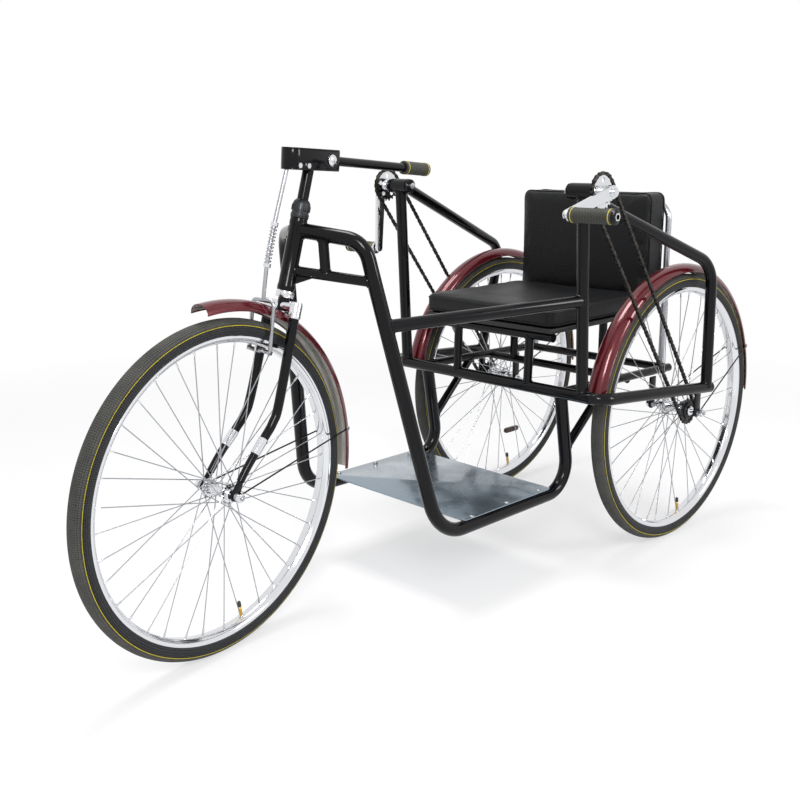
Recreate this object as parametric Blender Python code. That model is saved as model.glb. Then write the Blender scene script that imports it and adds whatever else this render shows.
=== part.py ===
"""Hand-propelled tricycle: one steered front wheel, two driven rear wheels.

A tubular frame carries a footboard, a padded seat and two hand cranks, one
above each rear wheel, and a chain runs from each crank down to the freewheel
of its wheel. The front fork is steered with a tiller, and carries a stirrup
brake whose shoes are pulled up against the rim.

Frame of the model: metres, +X forward, +Y left, +Z up. While the pieces are
modelled, the origin is on the ground under the rear axle; at the end the whole
machine is moved so that the origin is under the middle of its box.
"""

import math

import bmesh
import bpy
from mathutils import Matrix, Vector

# Clearances
SEAT = 0.0003             # between pieces that touch
RUNNING = 0.0006          # between a shaft and its bore

# Wheels
TYRE_RADIUS = 0.3555
TYRE_WIDTH = 0.040
RIM_EDGE_RADIUS = TYRE_RADIUS - 0.0346
RIM_WIDTH = 0.035
RIM_DEPTH = 0.0155
RIM_WALL = 0.0025
WHEEL_FACETS = 36
SPOKE_COUNT = 36
SPOKE_DIAMETER = 0.0026
CROSSES = 3
WHEELBASE = 1.2412
HALF_TRACK = 0.3026

# Hubs and axles
AXLE_DIAMETER = 0.0095
FLANGE_RADIUS = 0.022
FLANGE_THICKNESS = 0.003
HUB_BARREL_RADIUS = 0.0125
FRONT_FLANGE_SPAN = 0.056
REAR_FLANGE_SPAN = 0.048
FRONT_HUB_LENGTH = 0.072
REAR_HUB_INNER = 0.045    # from the wheel's middle to the hub's end on the frame side
REAR_HUB_OUTER = 0.054    # and on the chain side
AXLE_NUT_RADIUS = 0.0105
AXLE_NUT_LENGTH = 0.009
HANGER_HALF_WIDTH = 0.013
HANGER_THICKNESS = 0.005
OUTER_HANGER_Y = 0.371

# Tubes
MAIN_TUBE = 0.0318
RAIL_TUBE = 0.0286
BRACE_TUBE = 0.022
INNER_RAIL_TUBE = 0.022
TUBE_SIDES = 12
BEND_STEPS = 4

# Head and steering; distances along the steering axis start at its foot, which
# is the point of the axis nearest the front axle
HEAD_ANGLE = math.radians(16.08)
FORK_OFFSET = 0.0800
HEAD_BOTTOM = TYRE_RADIUS + 0.0715
HEAD_LENGTH = 0.150
HEAD_TUBE_RADIUS = 0.0175
STEERER_RADIUS = 0.0120
STEERER_BORE = 0.0095
HEADSET_GAP = 0.001
CUP_RADIUS = 0.0192
CUP_HEIGHT = 0.015
TOP_NUT_HEIGHT = 0.041
COLUMN_ABOVE_NUT = 0.073
STEER_ANGLE = math.radians(8.3)

# Fork
CROWN_HEIGHT = 0.023
CROWN_BELOW_CUP = 0.005
SOCKET_RADIUS = 0.0130
SOCKET_DROP = 0.010       # how far the sockets reach below the crown's bridge
BLADE_SPREAD = 0.038
BLADE_TIP_SPREAD = 0.045
BLADE_RADIUS = 0.0105
BLADE_TIP_RADIUS = 0.008
BLADE_BOW = (             # shares of the blade's height and of the fork's offset
    (1.0, 0.0), (0.506, 0.0), (0.392, 0.10), (0.314, 0.30),
    (0.233, 0.525), (0.152, 0.738), (0.076, 0.906),
)
TIP_PLATE_RADIUS = 0.011
TIP_PLATE_THICKNESS = 0.006

# Tiller
BRACKET_REAR = 0.0667     # from the steering axis to the bracket's open end
BRACKET_FRONT = 0.0765
BRACKET_WIDTH = 0.046
BRACKET_HEIGHT = 0.0445
BRACKET_WALL = 0.004
BRACKET_TILT = math.radians(3.0)
COLUMN_INSIDE = 0.0107    # from the column's top up to the bracket's middle
PIVOT_BEHIND_AXIS = 0.043
PIVOT_RADIUS = 0.005
PIVOT_HEAD_RADIUS = 0.0125
PIVOT_HEAD_THICKNESS = 0.005
TILLER_TILT = math.radians(4.4)
TILLER_BAR_RADIUS = 0.010
TILLER_BAR_AHEAD = 0.024  # how far the bar reaches ahead of its pivot
TILLER_LENGTH = 0.361     # from the pivot to the grip's end
TILLER_GRIP_RADIUS = 0.0155
TILLER_GRIP_LENGTH = 0.088

# Brake stirrup, on the steering axis's own scale: distance up, distance ahead
BRAKE_ROD_RADIUS = 0.0042
BRAKE_ROD_PLACES = ((HEAD_BOTTOM + 0.245, 0.0620), (HEAD_BOTTOM + 0.083, 0.0690), (HEAD_BOTTOM + 0.003, 0.0630))
STIRRUP_BRIDGE = (HEAD_BOTTOM - 0.030, 0.0580)
STIRRUP_FOOT = (RIM_EDGE_RADIUS - 0.0254, 0.0420)
SHOE_LENGTH = 0.034
SHOE_INNER_Y = 0.0115
SHOE_OUTER_Y = 0.0220
SHOE_HEIGHT = 0.009

# Frame
LOW_TUBE_HEIGHT = 0.200
FRAME_HALF_WIDTH = 0.225
MAIN_TUBE_TOP = HEAD_BOTTOM + 0.128  # where the main tubes leave the head, along the axis
SHOULDER_BACK = 0.0688    # from there to the bend above the front wheel
SHOULDER_Y = 0.1301
SHOULDER_DROP = 0.0213
MAIN_CORNER_X = 0.8254    # the lower front bend
MAIN_CORNER_Y = 0.2307
MAIN_REAR_X = 0.350       # the lower rear bend
HEAD_BRACE_FOOT = HEAD_BOTTOM + 0.043
HEAD_BRACE_HEIGHT = TYRE_RADIUS + 0.4056
CROSS_RAIL_X = TYRE_RADIUS + 0.0495
CROSS_RAIL_HEIGHT = TYRE_RADIUS + 0.0985
RAIL_HALF_WIDTH = 0.350
RAIL_END_HALF_WIDTH = 0.385
RAIL_END_X = -0.034
RAIL_END_HEIGHT = TYRE_RADIUS + 0.0645
INNER_RAIL_HEIGHT = TYRE_RADIUS + 0.0865
INNER_RAIL_Y = 0.232
REAR_CROSS_X = 0.115
DIAGONAL_FOOT_HEIGHT = 0.302
DIAGONAL_TOP_X = 0.206
SEAT_BAR_HEIGHT = CROSS_RAIL_HEIGHT + 0.129
SEAT_STRUT_Y = (-0.103, 0.132)
SIDE_RAIL_FRONT_HEIGHT = 0.6684
SIDE_RAIL_REAR_HEIGHT = 0.683
POST_HALF_WIDTH = 0.294
CRANK_AXLE_HEIGHT = 0.932
CRANK_AXLE_X = CROSS_RAIL_X + 0.019

# Wheel guards
GUARD_START_Y = 0.276
GUARD_CORNER_X = -0.058
GUARD_CORNER_Y = 0.356
GUARD_CORNER_HEIGHT = 0.734
GUARD_FOOT_X = -0.015
GUARD_BEND = 0.068

# Footboard
FOOTBOARD_FRONT = 0.748
FOOTBOARD_REAR = 0.430
FOOTBOARD_THICKNESS = 0.003
FOOTBOARD_OVERHANG = 0.010

# Seat
SEAT_REAR = 0.020
SEAT_FRONT = 0.425
SEAT_HALF_WIDTH = 0.220
SEAT_BOARD_THICKNESS = 0.012
SEAT_BOARD_INSET = 0.010
CUSHION_HEIGHT = 0.052
CUSHION_CROWN = 0.006
CUSHION_TOP = SEAT_BAR_HEIGHT + BRACE_TUBE / 2 + SEAT_BOARD_THICKNESS + CUSHION_HEIGHT + 2 * SEAT
BACKREST_THICKNESS = 0.080
BACKREST_CROWN = 0.008
BACKREST_HEIGHT = 0.295
BACKREST_BOTTOM = CUSHION_TOP - 0.034
BACKREST_TOP = BACKREST_BOTTOM + BACKREST_HEIGHT
BOW_TUBE = 0.016
BOW_HALF_WIDTH = SEAT_HALF_WIDTH - 0.004
BOW_X = SEAT_REAR - BACKREST_THICKNESS - BOW_TUBE / 2 - SEAT

# Fenders; each is rolled about a centre a little off its wheel's axle
REAR_FENDER_RADIUS = TYRE_RADIUS + 0.0185
REAR_FENDER_SHIFT = (0.010, 0.008)
REAR_FENDER_ARC = (11.5, 182.0)
FRONT_FENDER_RADIUS = TYRE_RADIUS + 0.0330
FRONT_FENDER_SHIFT = (0.0, 0.003)
FRONT_FENDER_ARC = (84.0, 187.0)
FENDER_HALF_WIDTH = 0.025
FENDER_DEPTH = 0.020
FENDER_SHEET = 0.0016
FENDER_LUG_RADIUS = 0.005
REAR_STAY_ANGLE = 161.0
FRONT_STAY_ANGLE = 172.0
STAY_RADIUS = 0.002
STAY_EYE_RADIUS = 0.0085
STAY_EYE_THICKNESS = 0.008

# Drive
CHAIN_PITCH = 0.0127
RING_TEETH = 20
FREEWHEEL_TEETH = 16
CHAIN_Y = 0.345
CHAIN_WIDTH = 0.0075
SPROCKET_THICKNESS = 0.0024
PIN_HALF_HEIGHT = 0.0042
WAIST_HALF_HEIGHT = 0.0030
TOOTH_RISE = 0.0010
TOOTH_CLEARANCE = 0.0006
FREEWHEEL_BODY_RADIUS = 0.0225
CRANK_LENGTH = 0.168
CRANK_ARM_Y = 0.371
CRANK_ARM_THICKNESS = 0.010
CRANK_ARM_WIDTH = 0.020
CRANK_SPINDLE_RADIUS = 0.0085
RING_BOSS_RADIUS = 0.016
HOUSING_RADIUS = 0.0185
HOUSING_INNER_Y = 0.255
HOUSING_OUTER_Y = 0.331
GRIP_RADIUS = 0.0165
GRIP_LENGTH = 0.118
GRIP_SPINDLE_RADIUS = 0.0055
LEFT_CRANK_ANGLE = math.radians(-14)
RIGHT_CRANK_ANGLE = math.radians(-87)

SIDES = (("left", 1), ("right", -1))


def reset_scene():
    """Remove whatever the file holds before the model is built."""
    for item in list(bpy.data.objects):
        bpy.data.objects.remove(item, do_unlink=True)


def make_finish(name, colour, roughness, metallic):
    """A plain material of one colour."""
    material = bpy.data.materials.new(name)
    material.use_nodes = True
    shader = material.node_tree.nodes["Principled BSDF"]
    shader.inputs["Base Color"].default_value = (*colour, 1.0)
    shader.inputs["Roughness"].default_value = roughness
    shader.inputs["Metallic"].default_value = metallic
    material.diffuse_color = (*colour, 1.0)
    return material


def add_object(name, bm, finish):
    """Turn a bmesh into an object with outward faces and smooth shading."""
    bmesh.ops.recalc_face_normals(bm, faces=bm.faces)
    mesh = bpy.data.meshes.new(name)
    bm.to_mesh(mesh)
    bm.free()
    mesh.shade_smooth()
    mesh.set_sharp_from_angle(angle=math.radians(35))
    mesh.materials.append(finish)
    item = bpy.data.objects.new(name, mesh)
    bpy.context.scene.collection.objects.link(item)
    return item


def combine(target, tool, operation):
    """Apply a Boolean of the tool to the target, and remove the tool."""
    modifier = target.modifiers.new(operation.lower(), "BOOLEAN")
    modifier.operation = operation
    modifier.solver = "EXACT"
    modifier.object = tool
    depsgraph = bpy.context.evaluated_depsgraph_get()
    result = bpy.data.meshes.new_from_object(target.evaluated_get(depsgraph))
    target.modifiers.clear()
    target.data = result
    bpy.data.objects.remove(tool, do_unlink=True)


def join(target, *tools):
    """Unite the tools with the target into one body."""
    for tool in tools:
        combine(target, tool, "UNION")
    return target


def cope(target, *tools):
    """Cut the tools' shapes out of the target."""
    for tool in tools:
        combine(target, tool, "DIFFERENCE")
    return target


def rounded_path(corners, bends):
    """A centre line whose inner corners are bent to the given radii."""
    points = [Vector(corners[0])]
    for index, bend in enumerate(bends, start=1):
        corner = Vector(corners[index])
        into = (corner - Vector(corners[index - 1])).normalized()
        out = (Vector(corners[index + 1]) - corner).normalized()
        turn = into.angle(out)
        reach = bend * math.tan(turn / 2)
        middle = corner + (out - into).normalized() * (bend / math.cos(turn / 2))
        start = corner - into * reach
        axis = into.cross(out).normalized()
        for step in range(BEND_STEPS + 1):
            spin = Matrix.Rotation(turn * step / BEND_STEPS, 3, axis)
            points.append(middle + spin @ (start - middle))
    points.append(Vector(corners[-1]))
    return points


def lengthened(points, extra=0.004):
    """The same path carried on straight past both ends, for a cutter."""
    first = points[0] + (points[0] - points[1]).normalized() * extra
    last = points[-1] + (points[-1] - points[-2]).normalized() * extra
    return [first] + points[1:-1] + [last]


def ring_frames(points):
    """Directions across a path at each point, carried along without twist."""
    frames = []
    across = None
    for index in range(len(points)):
        before = points[max(index - 1, 0)]
        after = points[min(index + 1, len(points) - 1)]
        along = (after - before).normalized()
        if across is None:
            across = along.orthogonal().normalized()
        else:
            across = (across - along * across.dot(along)).normalized()
        frames.append((across, along.cross(across), along))
    return frames


def sweep(name, points, radius, finish, sides=TUBE_SIDES):
    """A round bar along a path; radius may be one number or one for each point."""
    radii = radius if isinstance(radius, (list, tuple)) else [radius] * len(points)
    bm = bmesh.new()
    rings = []
    for point, size, (u, v, along) in zip(points, radii, ring_frames(points)):
        ring = []
        for step in range(sides):
            angle = 2 * math.pi * step / sides
            ring.append(bm.verts.new(point + (u * math.cos(angle) + v * math.sin(angle)) * size))
        rings.append(ring)
    for first, second in zip(rings, rings[1:]):
        for step in range(sides):
            nxt = (step + 1) % sides
            bm.faces.new((first[step], first[nxt], second[nxt], second[step]))
    bm.faces.new(rings[0])
    bm.faces.new(rings[-1])
    return add_object(name, bm, finish)


def bar(name, start, end, radius, finish, sides=TUBE_SIDES):
    """A straight round bar."""
    return sweep(name, [Vector(start), Vector(end)], radius, finish, sides)


def turned(name, profile, finish, facets, axis="Y", start_angle=0.0, arc=2 * math.pi):
    """Revolve a closed outline of (radius, offset along the axis) points."""
    whole = arc > 2 * math.pi - 1e-6
    count = facets if whole else facets + 1
    bm = bmesh.new()
    rings = []
    for step in range(count):
        angle = start_angle + arc * step / facets
        ring = []
        for radius, offset in profile:
            x, z = radius * math.cos(angle), radius * math.sin(angle)
            place = (x, offset, z) if axis == "Y" else (x, z, offset)
            ring.append(bm.verts.new(place))
        rings.append(ring)
    size = len(profile)
    pairs = zip(rings, rings[1:] + ([rings[0]] if whole else []))
    for first, second in pairs:
        for index in range(size):
            nxt = (index + 1) % size
            bm.faces.new((first[index], first[nxt], second[nxt], second[index]))
    if not whole:
        bm.faces.new(rings[0])
        bm.faces.new(rings[-1])
    return add_object(name, bm, finish)


def shaft(name, radius, low, high, finish, facets=12, centre=(0.0, 0.0)):
    """A round bar along the Y axis, its facets in line with those of a turned piece."""
    outline = []
    for step in range(facets):
        angle = 2 * math.pi * step / facets
        outline.append((centre[0] + radius * math.cos(angle), centre[1] + radius * math.sin(angle)))
    return plate(name, outline, min(low, high), max(low, high), finish, side_place)


def tube_ring(name, inner, outer, low, high, finish, facets=24):
    """A plain sleeve round the Y axis."""
    outline = ((inner, low), (outer, low), (outer, high), (inner, high))
    return turned(name, outline, finish, facets)


def plate(name, outline, low, high, finish, place):
    """A flat plate: an outline of two numbers, extruded between low and high."""
    bm = bmesh.new()
    bottom = [bm.verts.new(place(a, b, low)) for a, b in outline]
    top = [bm.verts.new(place(a, b, high)) for a, b in outline]
    count = len(outline)
    for index in range(count):
        nxt = (index + 1) % count
        bm.faces.new((bottom[index], bottom[nxt], top[nxt], top[index]))
    bm.faces.new(bottom)
    bm.faces.new(top)
    return add_object(name, bm, finish)


def side_place(x, z, y):
    """Plates that lie in a plane across Y."""
    return Vector((x, y, z))


def floor_place(x, y, z):
    """Plates that lie flat."""
    return Vector((x, y, z))


def round_corners(width, height, radius, steps=4):
    """The outline of a rectangle about the origin with round corners."""
    points = []
    for quarter in range(4):
        turn = math.pi / 2 * quarter
        sx = 1 if quarter in (0, 3) else -1
        sy = 1 if quarter in (0, 1) else -1
        cx, cy = sx * (width / 2 - radius), sy * (height / 2 - radius)
        for step in range(steps + 1):
            angle = turn + math.pi / 2 * step / steps
            points.append((cx + radius * math.cos(angle), cy + radius * math.sin(angle)))
    return points


def capsule(start, end, start_radius, end_radius, steps=6):
    """The outline of a link that is round about both of its ends."""
    (ax, az), (bx, bz) = start, end
    heading = math.atan2(bz - az, bx - ax)
    points = []
    for (cx, cz), radius, first in (((ax, az), start_radius, heading + math.pi / 2),
                                    ((bx, bz), end_radius, heading - math.pi / 2)):
        for step in range(steps + 1):
            turn = first + math.pi * step / steps
            points.append((cx + radius * math.cos(turn), cz + radius * math.sin(turn)))
    return points


def mirrored(points, sign):
    """The same points on the left (+1) or right (-1) side."""
    return [Vector((p[0], p[1] * sign, p[2])) for p in points]


def at_height(points, height):
    """The first place along a path that lies at a height."""
    for first, second in zip(points, points[1:]):
        if min(first.z, second.z) <= height <= max(first.z, second.z):
            return first.lerp(second, (height - first.z) / (second.z - first.z))
    raise ValueError(f"the path never reaches {height}")


# Places that several pieces share

AXIS_DIRECTION = Vector((-math.sin(HEAD_ANGLE), 0.0, math.cos(HEAD_ANGLE)))
AXIS_AHEAD = Vector((math.cos(HEAD_ANGLE), 0.0, math.sin(HEAD_ANGLE)))
FRONT_AXLE = Vector((WHEELBASE, 0.0, TYRE_RADIUS))
REAR_AXLE = Vector((0.0, 0.0, TYRE_RADIUS))
AXIS_FOOT = FRONT_AXLE - AXIS_AHEAD * FORK_OFFSET
HEAD_TOP = HEAD_BOTTOM + HEAD_LENGTH
COLUMN_TOP = HEAD_TOP + TOP_NUT_HEIGHT + COLUMN_ABOVE_NUT
CROWN_TOP = HEAD_BOTTOM - CUP_HEIGHT - CROWN_BELOW_CUP
CROWN_MIDDLE = CROWN_TOP - CROWN_HEIGHT / 2
TIP_OUTER_Y = BLADE_TIP_SPREAD + TIP_PLATE_THICKNESS / 2
REAR_FENDER_CENTRE = REAR_AXLE + Vector((REAR_FENDER_SHIFT[0], 0.0, REAR_FENDER_SHIFT[1]))
FRONT_FENDER_CENTRE = FRONT_AXLE + Vector((FRONT_FENDER_SHIFT[0], 0.0, FRONT_FENDER_SHIFT[1]))
INNER_HANGER_Y = INNER_RAIL_Y + 0.004


def on_axis(distance, ahead=0.0, aside=0.0):
    """The point at a distance up the steering axis from its foot, or ahead of it or beside it."""
    return AXIS_FOOT + AXIS_DIRECTION * distance + AXIS_AHEAD * ahead + Vector((0.0, aside, 0.0))


def main_tube_path():
    """Left main tube: head, down, along the footboard and up to the cross rail."""
    top = on_axis(MAIN_TUBE_TOP)
    corners = (
        top,
        top + Vector((-SHOULDER_BACK, SHOULDER_Y, -SHOULDER_DROP)),
        (MAIN_CORNER_X, MAIN_CORNER_Y, LOW_TUBE_HEIGHT),
        (MAIN_REAR_X, FRAME_HALF_WIDTH, LOW_TUBE_HEIGHT),
        (CROSS_RAIL_X - 0.012, FRAME_HALF_WIDTH, CROSS_RAIL_HEIGHT),
    )
    return rounded_path(corners, (0.055, 0.092, 0.070))


def outer_rail_path():
    """The cross rail in front of the seat and the two rails outside the wheels."""
    end = Vector((RAIL_END_X, RAIL_END_HALF_WIDTH, RAIL_END_HEIGHT))
    corner = Vector((CROSS_RAIL_X, RAIL_HALF_WIDTH, CROSS_RAIL_HEIGHT))
    left = [end, corner]
    corners = left + mirrored(reversed(left), -1)
    return rounded_path(corners, (0.042, 0.042))


def guard_path():
    """Left wheel guard: from the crank housing back and down to the rail's end."""
    corners = (
        (CRANK_AXLE_X, GUARD_START_Y, CRANK_AXLE_HEIGHT - 0.002),
        (GUARD_CORNER_X, GUARD_CORNER_Y, GUARD_CORNER_HEIGHT),
        (GUARD_FOOT_X, RAIL_END_HALF_WIDTH, RAIL_END_HEIGHT + 0.001),
    )
    return rounded_path(corners, (GUARD_BEND,))


def post_ends():
    """Left crank post, from the cross rail's corner up to the crank housing."""
    base = Vector((CROSS_RAIL_X - 0.004, POST_HALF_WIDTH, CROSS_RAIL_HEIGHT))
    top = Vector((CRANK_AXLE_X, POST_HALF_WIDTH, CRANK_AXLE_HEIGHT))
    return base, top


def fender_lug(sign):
    """Ends of the lug on the cross rail that a rear fender is bolted to."""
    rail = Vector((CROSS_RAIL_X, sign * HALF_TRACK, CROSS_RAIL_HEIGHT))
    centre = REAR_FENDER_CENTRE + Vector((0.0, sign * HALF_TRACK, 0.0))
    return rail, centre + (rail - centre).normalized() * (REAR_FENDER_RADIUS + SEAT)


def inner_rail_ends(sign):
    """Ends of a rail under the seat, from behind the backrest to the cross rail."""
    return (Vector((BOW_X - 0.014, sign * INNER_RAIL_Y, INNER_RAIL_HEIGHT)),
            Vector((CROSS_RAIL_X, sign * INNER_RAIL_Y, CROSS_RAIL_HEIGHT)))


def build_frame_tubes(black):
    """The welded tubes, each coped to fit its neighbours."""
    rail_path = outer_rail_path()
    rail_grown = RAIL_TUBE / 2 + SEAT
    rail = sweep("outer_rail", rail_path, RAIL_TUBE / 2, black)
    for side, sign in SIDES:
        join(rail, bar("fender_lug", *fender_lug(sign), FENDER_LUG_RADIUS, black, 8))

    for side, sign in SIDES:
        tube = sweep(f"main_tube_{side}", mirrored(main_tube_path(), sign), MAIN_TUBE / 2, black)
        cope(
            tube,
            bar("cut", on_axis(HEAD_BOTTOM), on_axis(HEAD_TOP), HEAD_TUBE_RADIUS + SEAT, black, 16),
            middle_cut(black),
            sweep("cut", lengthened(rail_path), rail_grown, black),
        )
        keep_largest(tube)

    for side, sign in SIDES:
        base, top = mirrored(post_ends(), sign)
        post = bar(f"crank_post_{side}", base, top, RAIL_TUBE / 2, black)
        cope(
            post,
            sweep("cut", lengthened(rail_path), rail_grown, black),
            bar("cut", *lengthened(list(fender_lug(sign))), FENDER_LUG_RADIUS + SEAT, black, 8),
            housing_cut(sign, black),
        )
        guard = sweep(f"wheel_guard_{side}", mirrored(guard_path(), sign), RAIL_TUBE / 2, black)
        cope(
            guard,
            bar("cut", *lengthened([base, top], 0.03), RAIL_TUBE / 2 + SEAT, black),
            housing_cut(sign, black),
            sweep("cut", lengthened(rail_path), rail_grown, black),
        )
        keep_largest(guard)

    build_head(black)
    build_seat_frame(black)


def middle_cut(finish):
    """A thin saw cut in the machine's middle plane, where the main tubes meet behind the head."""
    top = on_axis(MAIN_TUBE_TOP)
    outline = ((top.x - 0.06, top.z - 0.06), (top.x + 0.06, top.z - 0.06),
               (top.x + 0.06, top.z + 0.06), (top.x - 0.06, top.z + 0.06))
    return plate("cut", outline, -SEAT, SEAT, finish, side_place)


def housing_cut(sign, finish):
    """The room that a crank housing takes in what it is brazed to."""
    return shaft("cut", HOUSING_RADIUS + SEAT, sign * (HOUSING_INNER_Y - 0.02),
                 sign * (HOUSING_OUTER_Y + 0.02), finish, centre=(CRANK_AXLE_X, CRANK_AXLE_HEIGHT))


def keep_largest(item):
    """Drop the offcuts that coping leaves, and keep the largest piece."""
    bm = bmesh.new()
    bm.from_mesh(item.data)
    pieces = []
    left = set(bm.verts)
    while left:
        stack = [left.pop()]
        piece = set(stack)
        while stack:
            for edge in stack.pop().link_edges:
                for vert in edge.verts:
                    if vert in left:
                        left.remove(vert)
                        piece.add(vert)
                        stack.append(vert)
        pieces.append(piece)
    pieces.sort(key=len)
    for piece in pieces[:-1]:
        bmesh.ops.delete(bm, geom=list(piece), context="VERTS")
    bm.to_mesh(item.data)
    bm.free()


def build_head(black):
    """Head tube with its two lower braces, their gussets and the short struts."""
    low = on_axis(HEAD_BOTTOM)
    high = on_axis(HEAD_TOP)
    head = bar("head_tube", low, high, HEAD_TUBE_RADIUS, black, 16)
    brace_foot = on_axis(HEAD_BRACE_FOOT)
    for sign in (1, -1):
        main = mirrored(main_tube_path(), sign)
        meet = at_height(main, HEAD_BRACE_HEIGHT)
        brace = bar("brace", brace_foot, meet, BRACE_TUBE / 2, black)
        strut = bar("strut", brace_foot.lerp(meet, 0.432), main[0].lerp(main[1], 0.52),
                    BRACE_TUBE / 2, black)
        join(head, brace, strut, gusset(brace_foot, meet, black))
    cope(head, bar("cut", low - AXIS_DIRECTION * 0.01, high + AXIS_DIRECTION * 0.01,
                   STEERER_RADIUS + RUNNING, black, 16))
    for sign in (1, -1):
        cope(head, sweep("cut", mirrored(main_tube_path(), sign), MAIN_TUBE / 2 + SEAT, black))


def gusset(brace_foot, meet, black):
    """The small plate in the corner under a head brace."""
    outward = meet - brace_foot
    across = outward.normalized().cross(AXIS_DIRECTION).normalized() * 0.002
    corners = (on_axis(HEAD_BOTTOM + 0.008), brace_foot + outward * 0.351, brace_foot)
    bm = bmesh.new()
    front = [bm.verts.new(point + across) for point in corners]
    back = [bm.verts.new(point - across) for point in corners]
    bm.faces.new(front)
    bm.faces.new(back)
    for index in range(3):
        nxt = (index + 1) % 3
        bm.faces.new((front[index], front[nxt], back[nxt], back[index]))
    return add_object("gusset", bm, black)


def build_seat_frame(black):
    """Rails under the seat, the struts that carry it, braces and the side rail."""
    rail_path = outer_rail_path()
    rail_grown = RAIL_TUBE / 2 + SEAT
    inner = INNER_RAIL_TUBE / 2
    seat_frame = bar("under_seat_frame", (REAR_CROSS_X, -INNER_RAIL_Y, INNER_RAIL_HEIGHT),
                     (REAR_CROSS_X, INNER_RAIL_Y, INNER_RAIL_HEIGHT), inner, black)
    for sign in (1, -1):
        join(
            seat_frame,
            bar("rail", *inner_rail_ends(sign), inner, black),
            bar("strut", (REAR_CROSS_X, sign * 0.150, INNER_RAIL_HEIGHT),
                (REAR_CROSS_X, sign * 0.150, SEAT_BAR_HEIGHT + BRACE_TUBE / 2), inner, black),
        )
    join(seat_frame, bar("rear", (BOW_X, -INNER_RAIL_Y, INNER_RAIL_HEIGHT),
                         (BOW_X, INNER_RAIL_Y, INNER_RAIL_HEIGHT), inner, black))
    cope(seat_frame, sweep("cut", lengthened(rail_path), rail_grown, black))
    for side, sign in SIDES:
        cope(seat_frame, sweep("cut", lengthened(mirrored(main_tube_path(), sign)),
                               MAIN_TUBE / 2 + SEAT, black))

    bar_x = CROSS_RAIL_X - 0.005
    bar_half = SEAT_HALF_WIDTH - 0.015
    seat_bar = bar("seat_bar", (bar_x, -bar_half, SEAT_BAR_HEIGHT), (bar_x, bar_half, SEAT_BAR_HEIGHT),
                   BRACE_TUBE / 2, black)
    for y in SEAT_STRUT_Y:
        join(seat_bar, bar("strut", (CROSS_RAIL_X, y, CROSS_RAIL_HEIGHT), (bar_x, y, SEAT_BAR_HEIGHT),
                           BRACE_TUBE / 2, black))
    cope(seat_bar, sweep("cut", lengthened(rail_path), rail_grown, black))

    for side, sign in SIDES:
        main = mirrored(main_tube_path(), sign)
        foot = at_height(main[::-1], DIAGONAL_FOOT_HEIGHT)
        rear, front = inner_rail_ends(sign)
        top = rear.lerp(front, (DIAGONAL_TOP_X - rear.x) / (front.x - rear.x))
        brace = bar(f"diagonal_brace_{side}", foot, top, BRACE_TUBE / 2, black)
        cope(brace, sweep("cut", lengthened(main), MAIN_TUBE / 2 + SEAT, black),
             bar("cut", rear, front, inner + SEAT, black))
        keep_largest(brace)

    base, top = post_ends()
    side_rail = bar("side_rail", at_height(main_tube_path(), SIDE_RAIL_FRONT_HEIGHT),
                    at_height([base, top], SIDE_RAIL_REAR_HEIGHT), RAIL_TUBE / 2, black)
    cope(side_rail, sweep("cut", main_tube_path(), MAIN_TUBE / 2 + SEAT, black),
         bar("cut", base, top, RAIL_TUBE / 2 + SEAT, black))


def build_footboard(steel):
    """Flat plate laid on the lower runs of the main tubes."""
    low = LOW_TUBE_HEIGHT + MAIN_TUBE / 2 + SEAT
    middle = (FOOTBOARD_FRONT + FOOTBOARD_REAR) / 2
    width = 2 * (FRAME_HALF_WIDTH + FOOTBOARD_OVERHANG)
    outline = [(x + middle, y) for x, y in
               round_corners(FOOTBOARD_FRONT - FOOTBOARD_REAR, width, 0.012, 3)]
    plate("footboard", outline, low, low + FOOTBOARD_THICKNESS, steel, floor_place)


def pad(name, low, high, radius, crown, finish, plan):
    """A cushion: a rounded outline with soft edges, thicker in its middle."""
    width, depth = plan
    bm = bmesh.new()
    thickness = high - low
    rows = ((-0.012, 0.0), (0.0, 0.18), (0.0, 0.78), (-0.014, 1.0))
    rings = []
    for inset, share in rows:
        outline = round_corners(width + 2 * inset, depth + 2 * inset, radius + inset, 3)
        rings.append([bm.verts.new((a, b, low + thickness * share)) for a, b in outline])
    for first, second in zip(rings, rings[1:]):
        for index in range(len(first)):
            nxt = (index + 1) % len(first)
            bm.faces.new((first[index], first[nxt], second[nxt], second[index]))
    bm.faces.new(rings[0])
    inner = [bm.verts.new((v.co.x * 0.6, v.co.y * 0.6, high + crown)) for v in rings[-1]]
    for index in range(len(inner)):
        nxt = (index + 1) % len(inner)
        bm.faces.new((rings[-1][index], rings[-1][nxt], inner[nxt], inner[index]))
    bm.faces.new(inner)
    return add_object(name, bm, finish)


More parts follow.
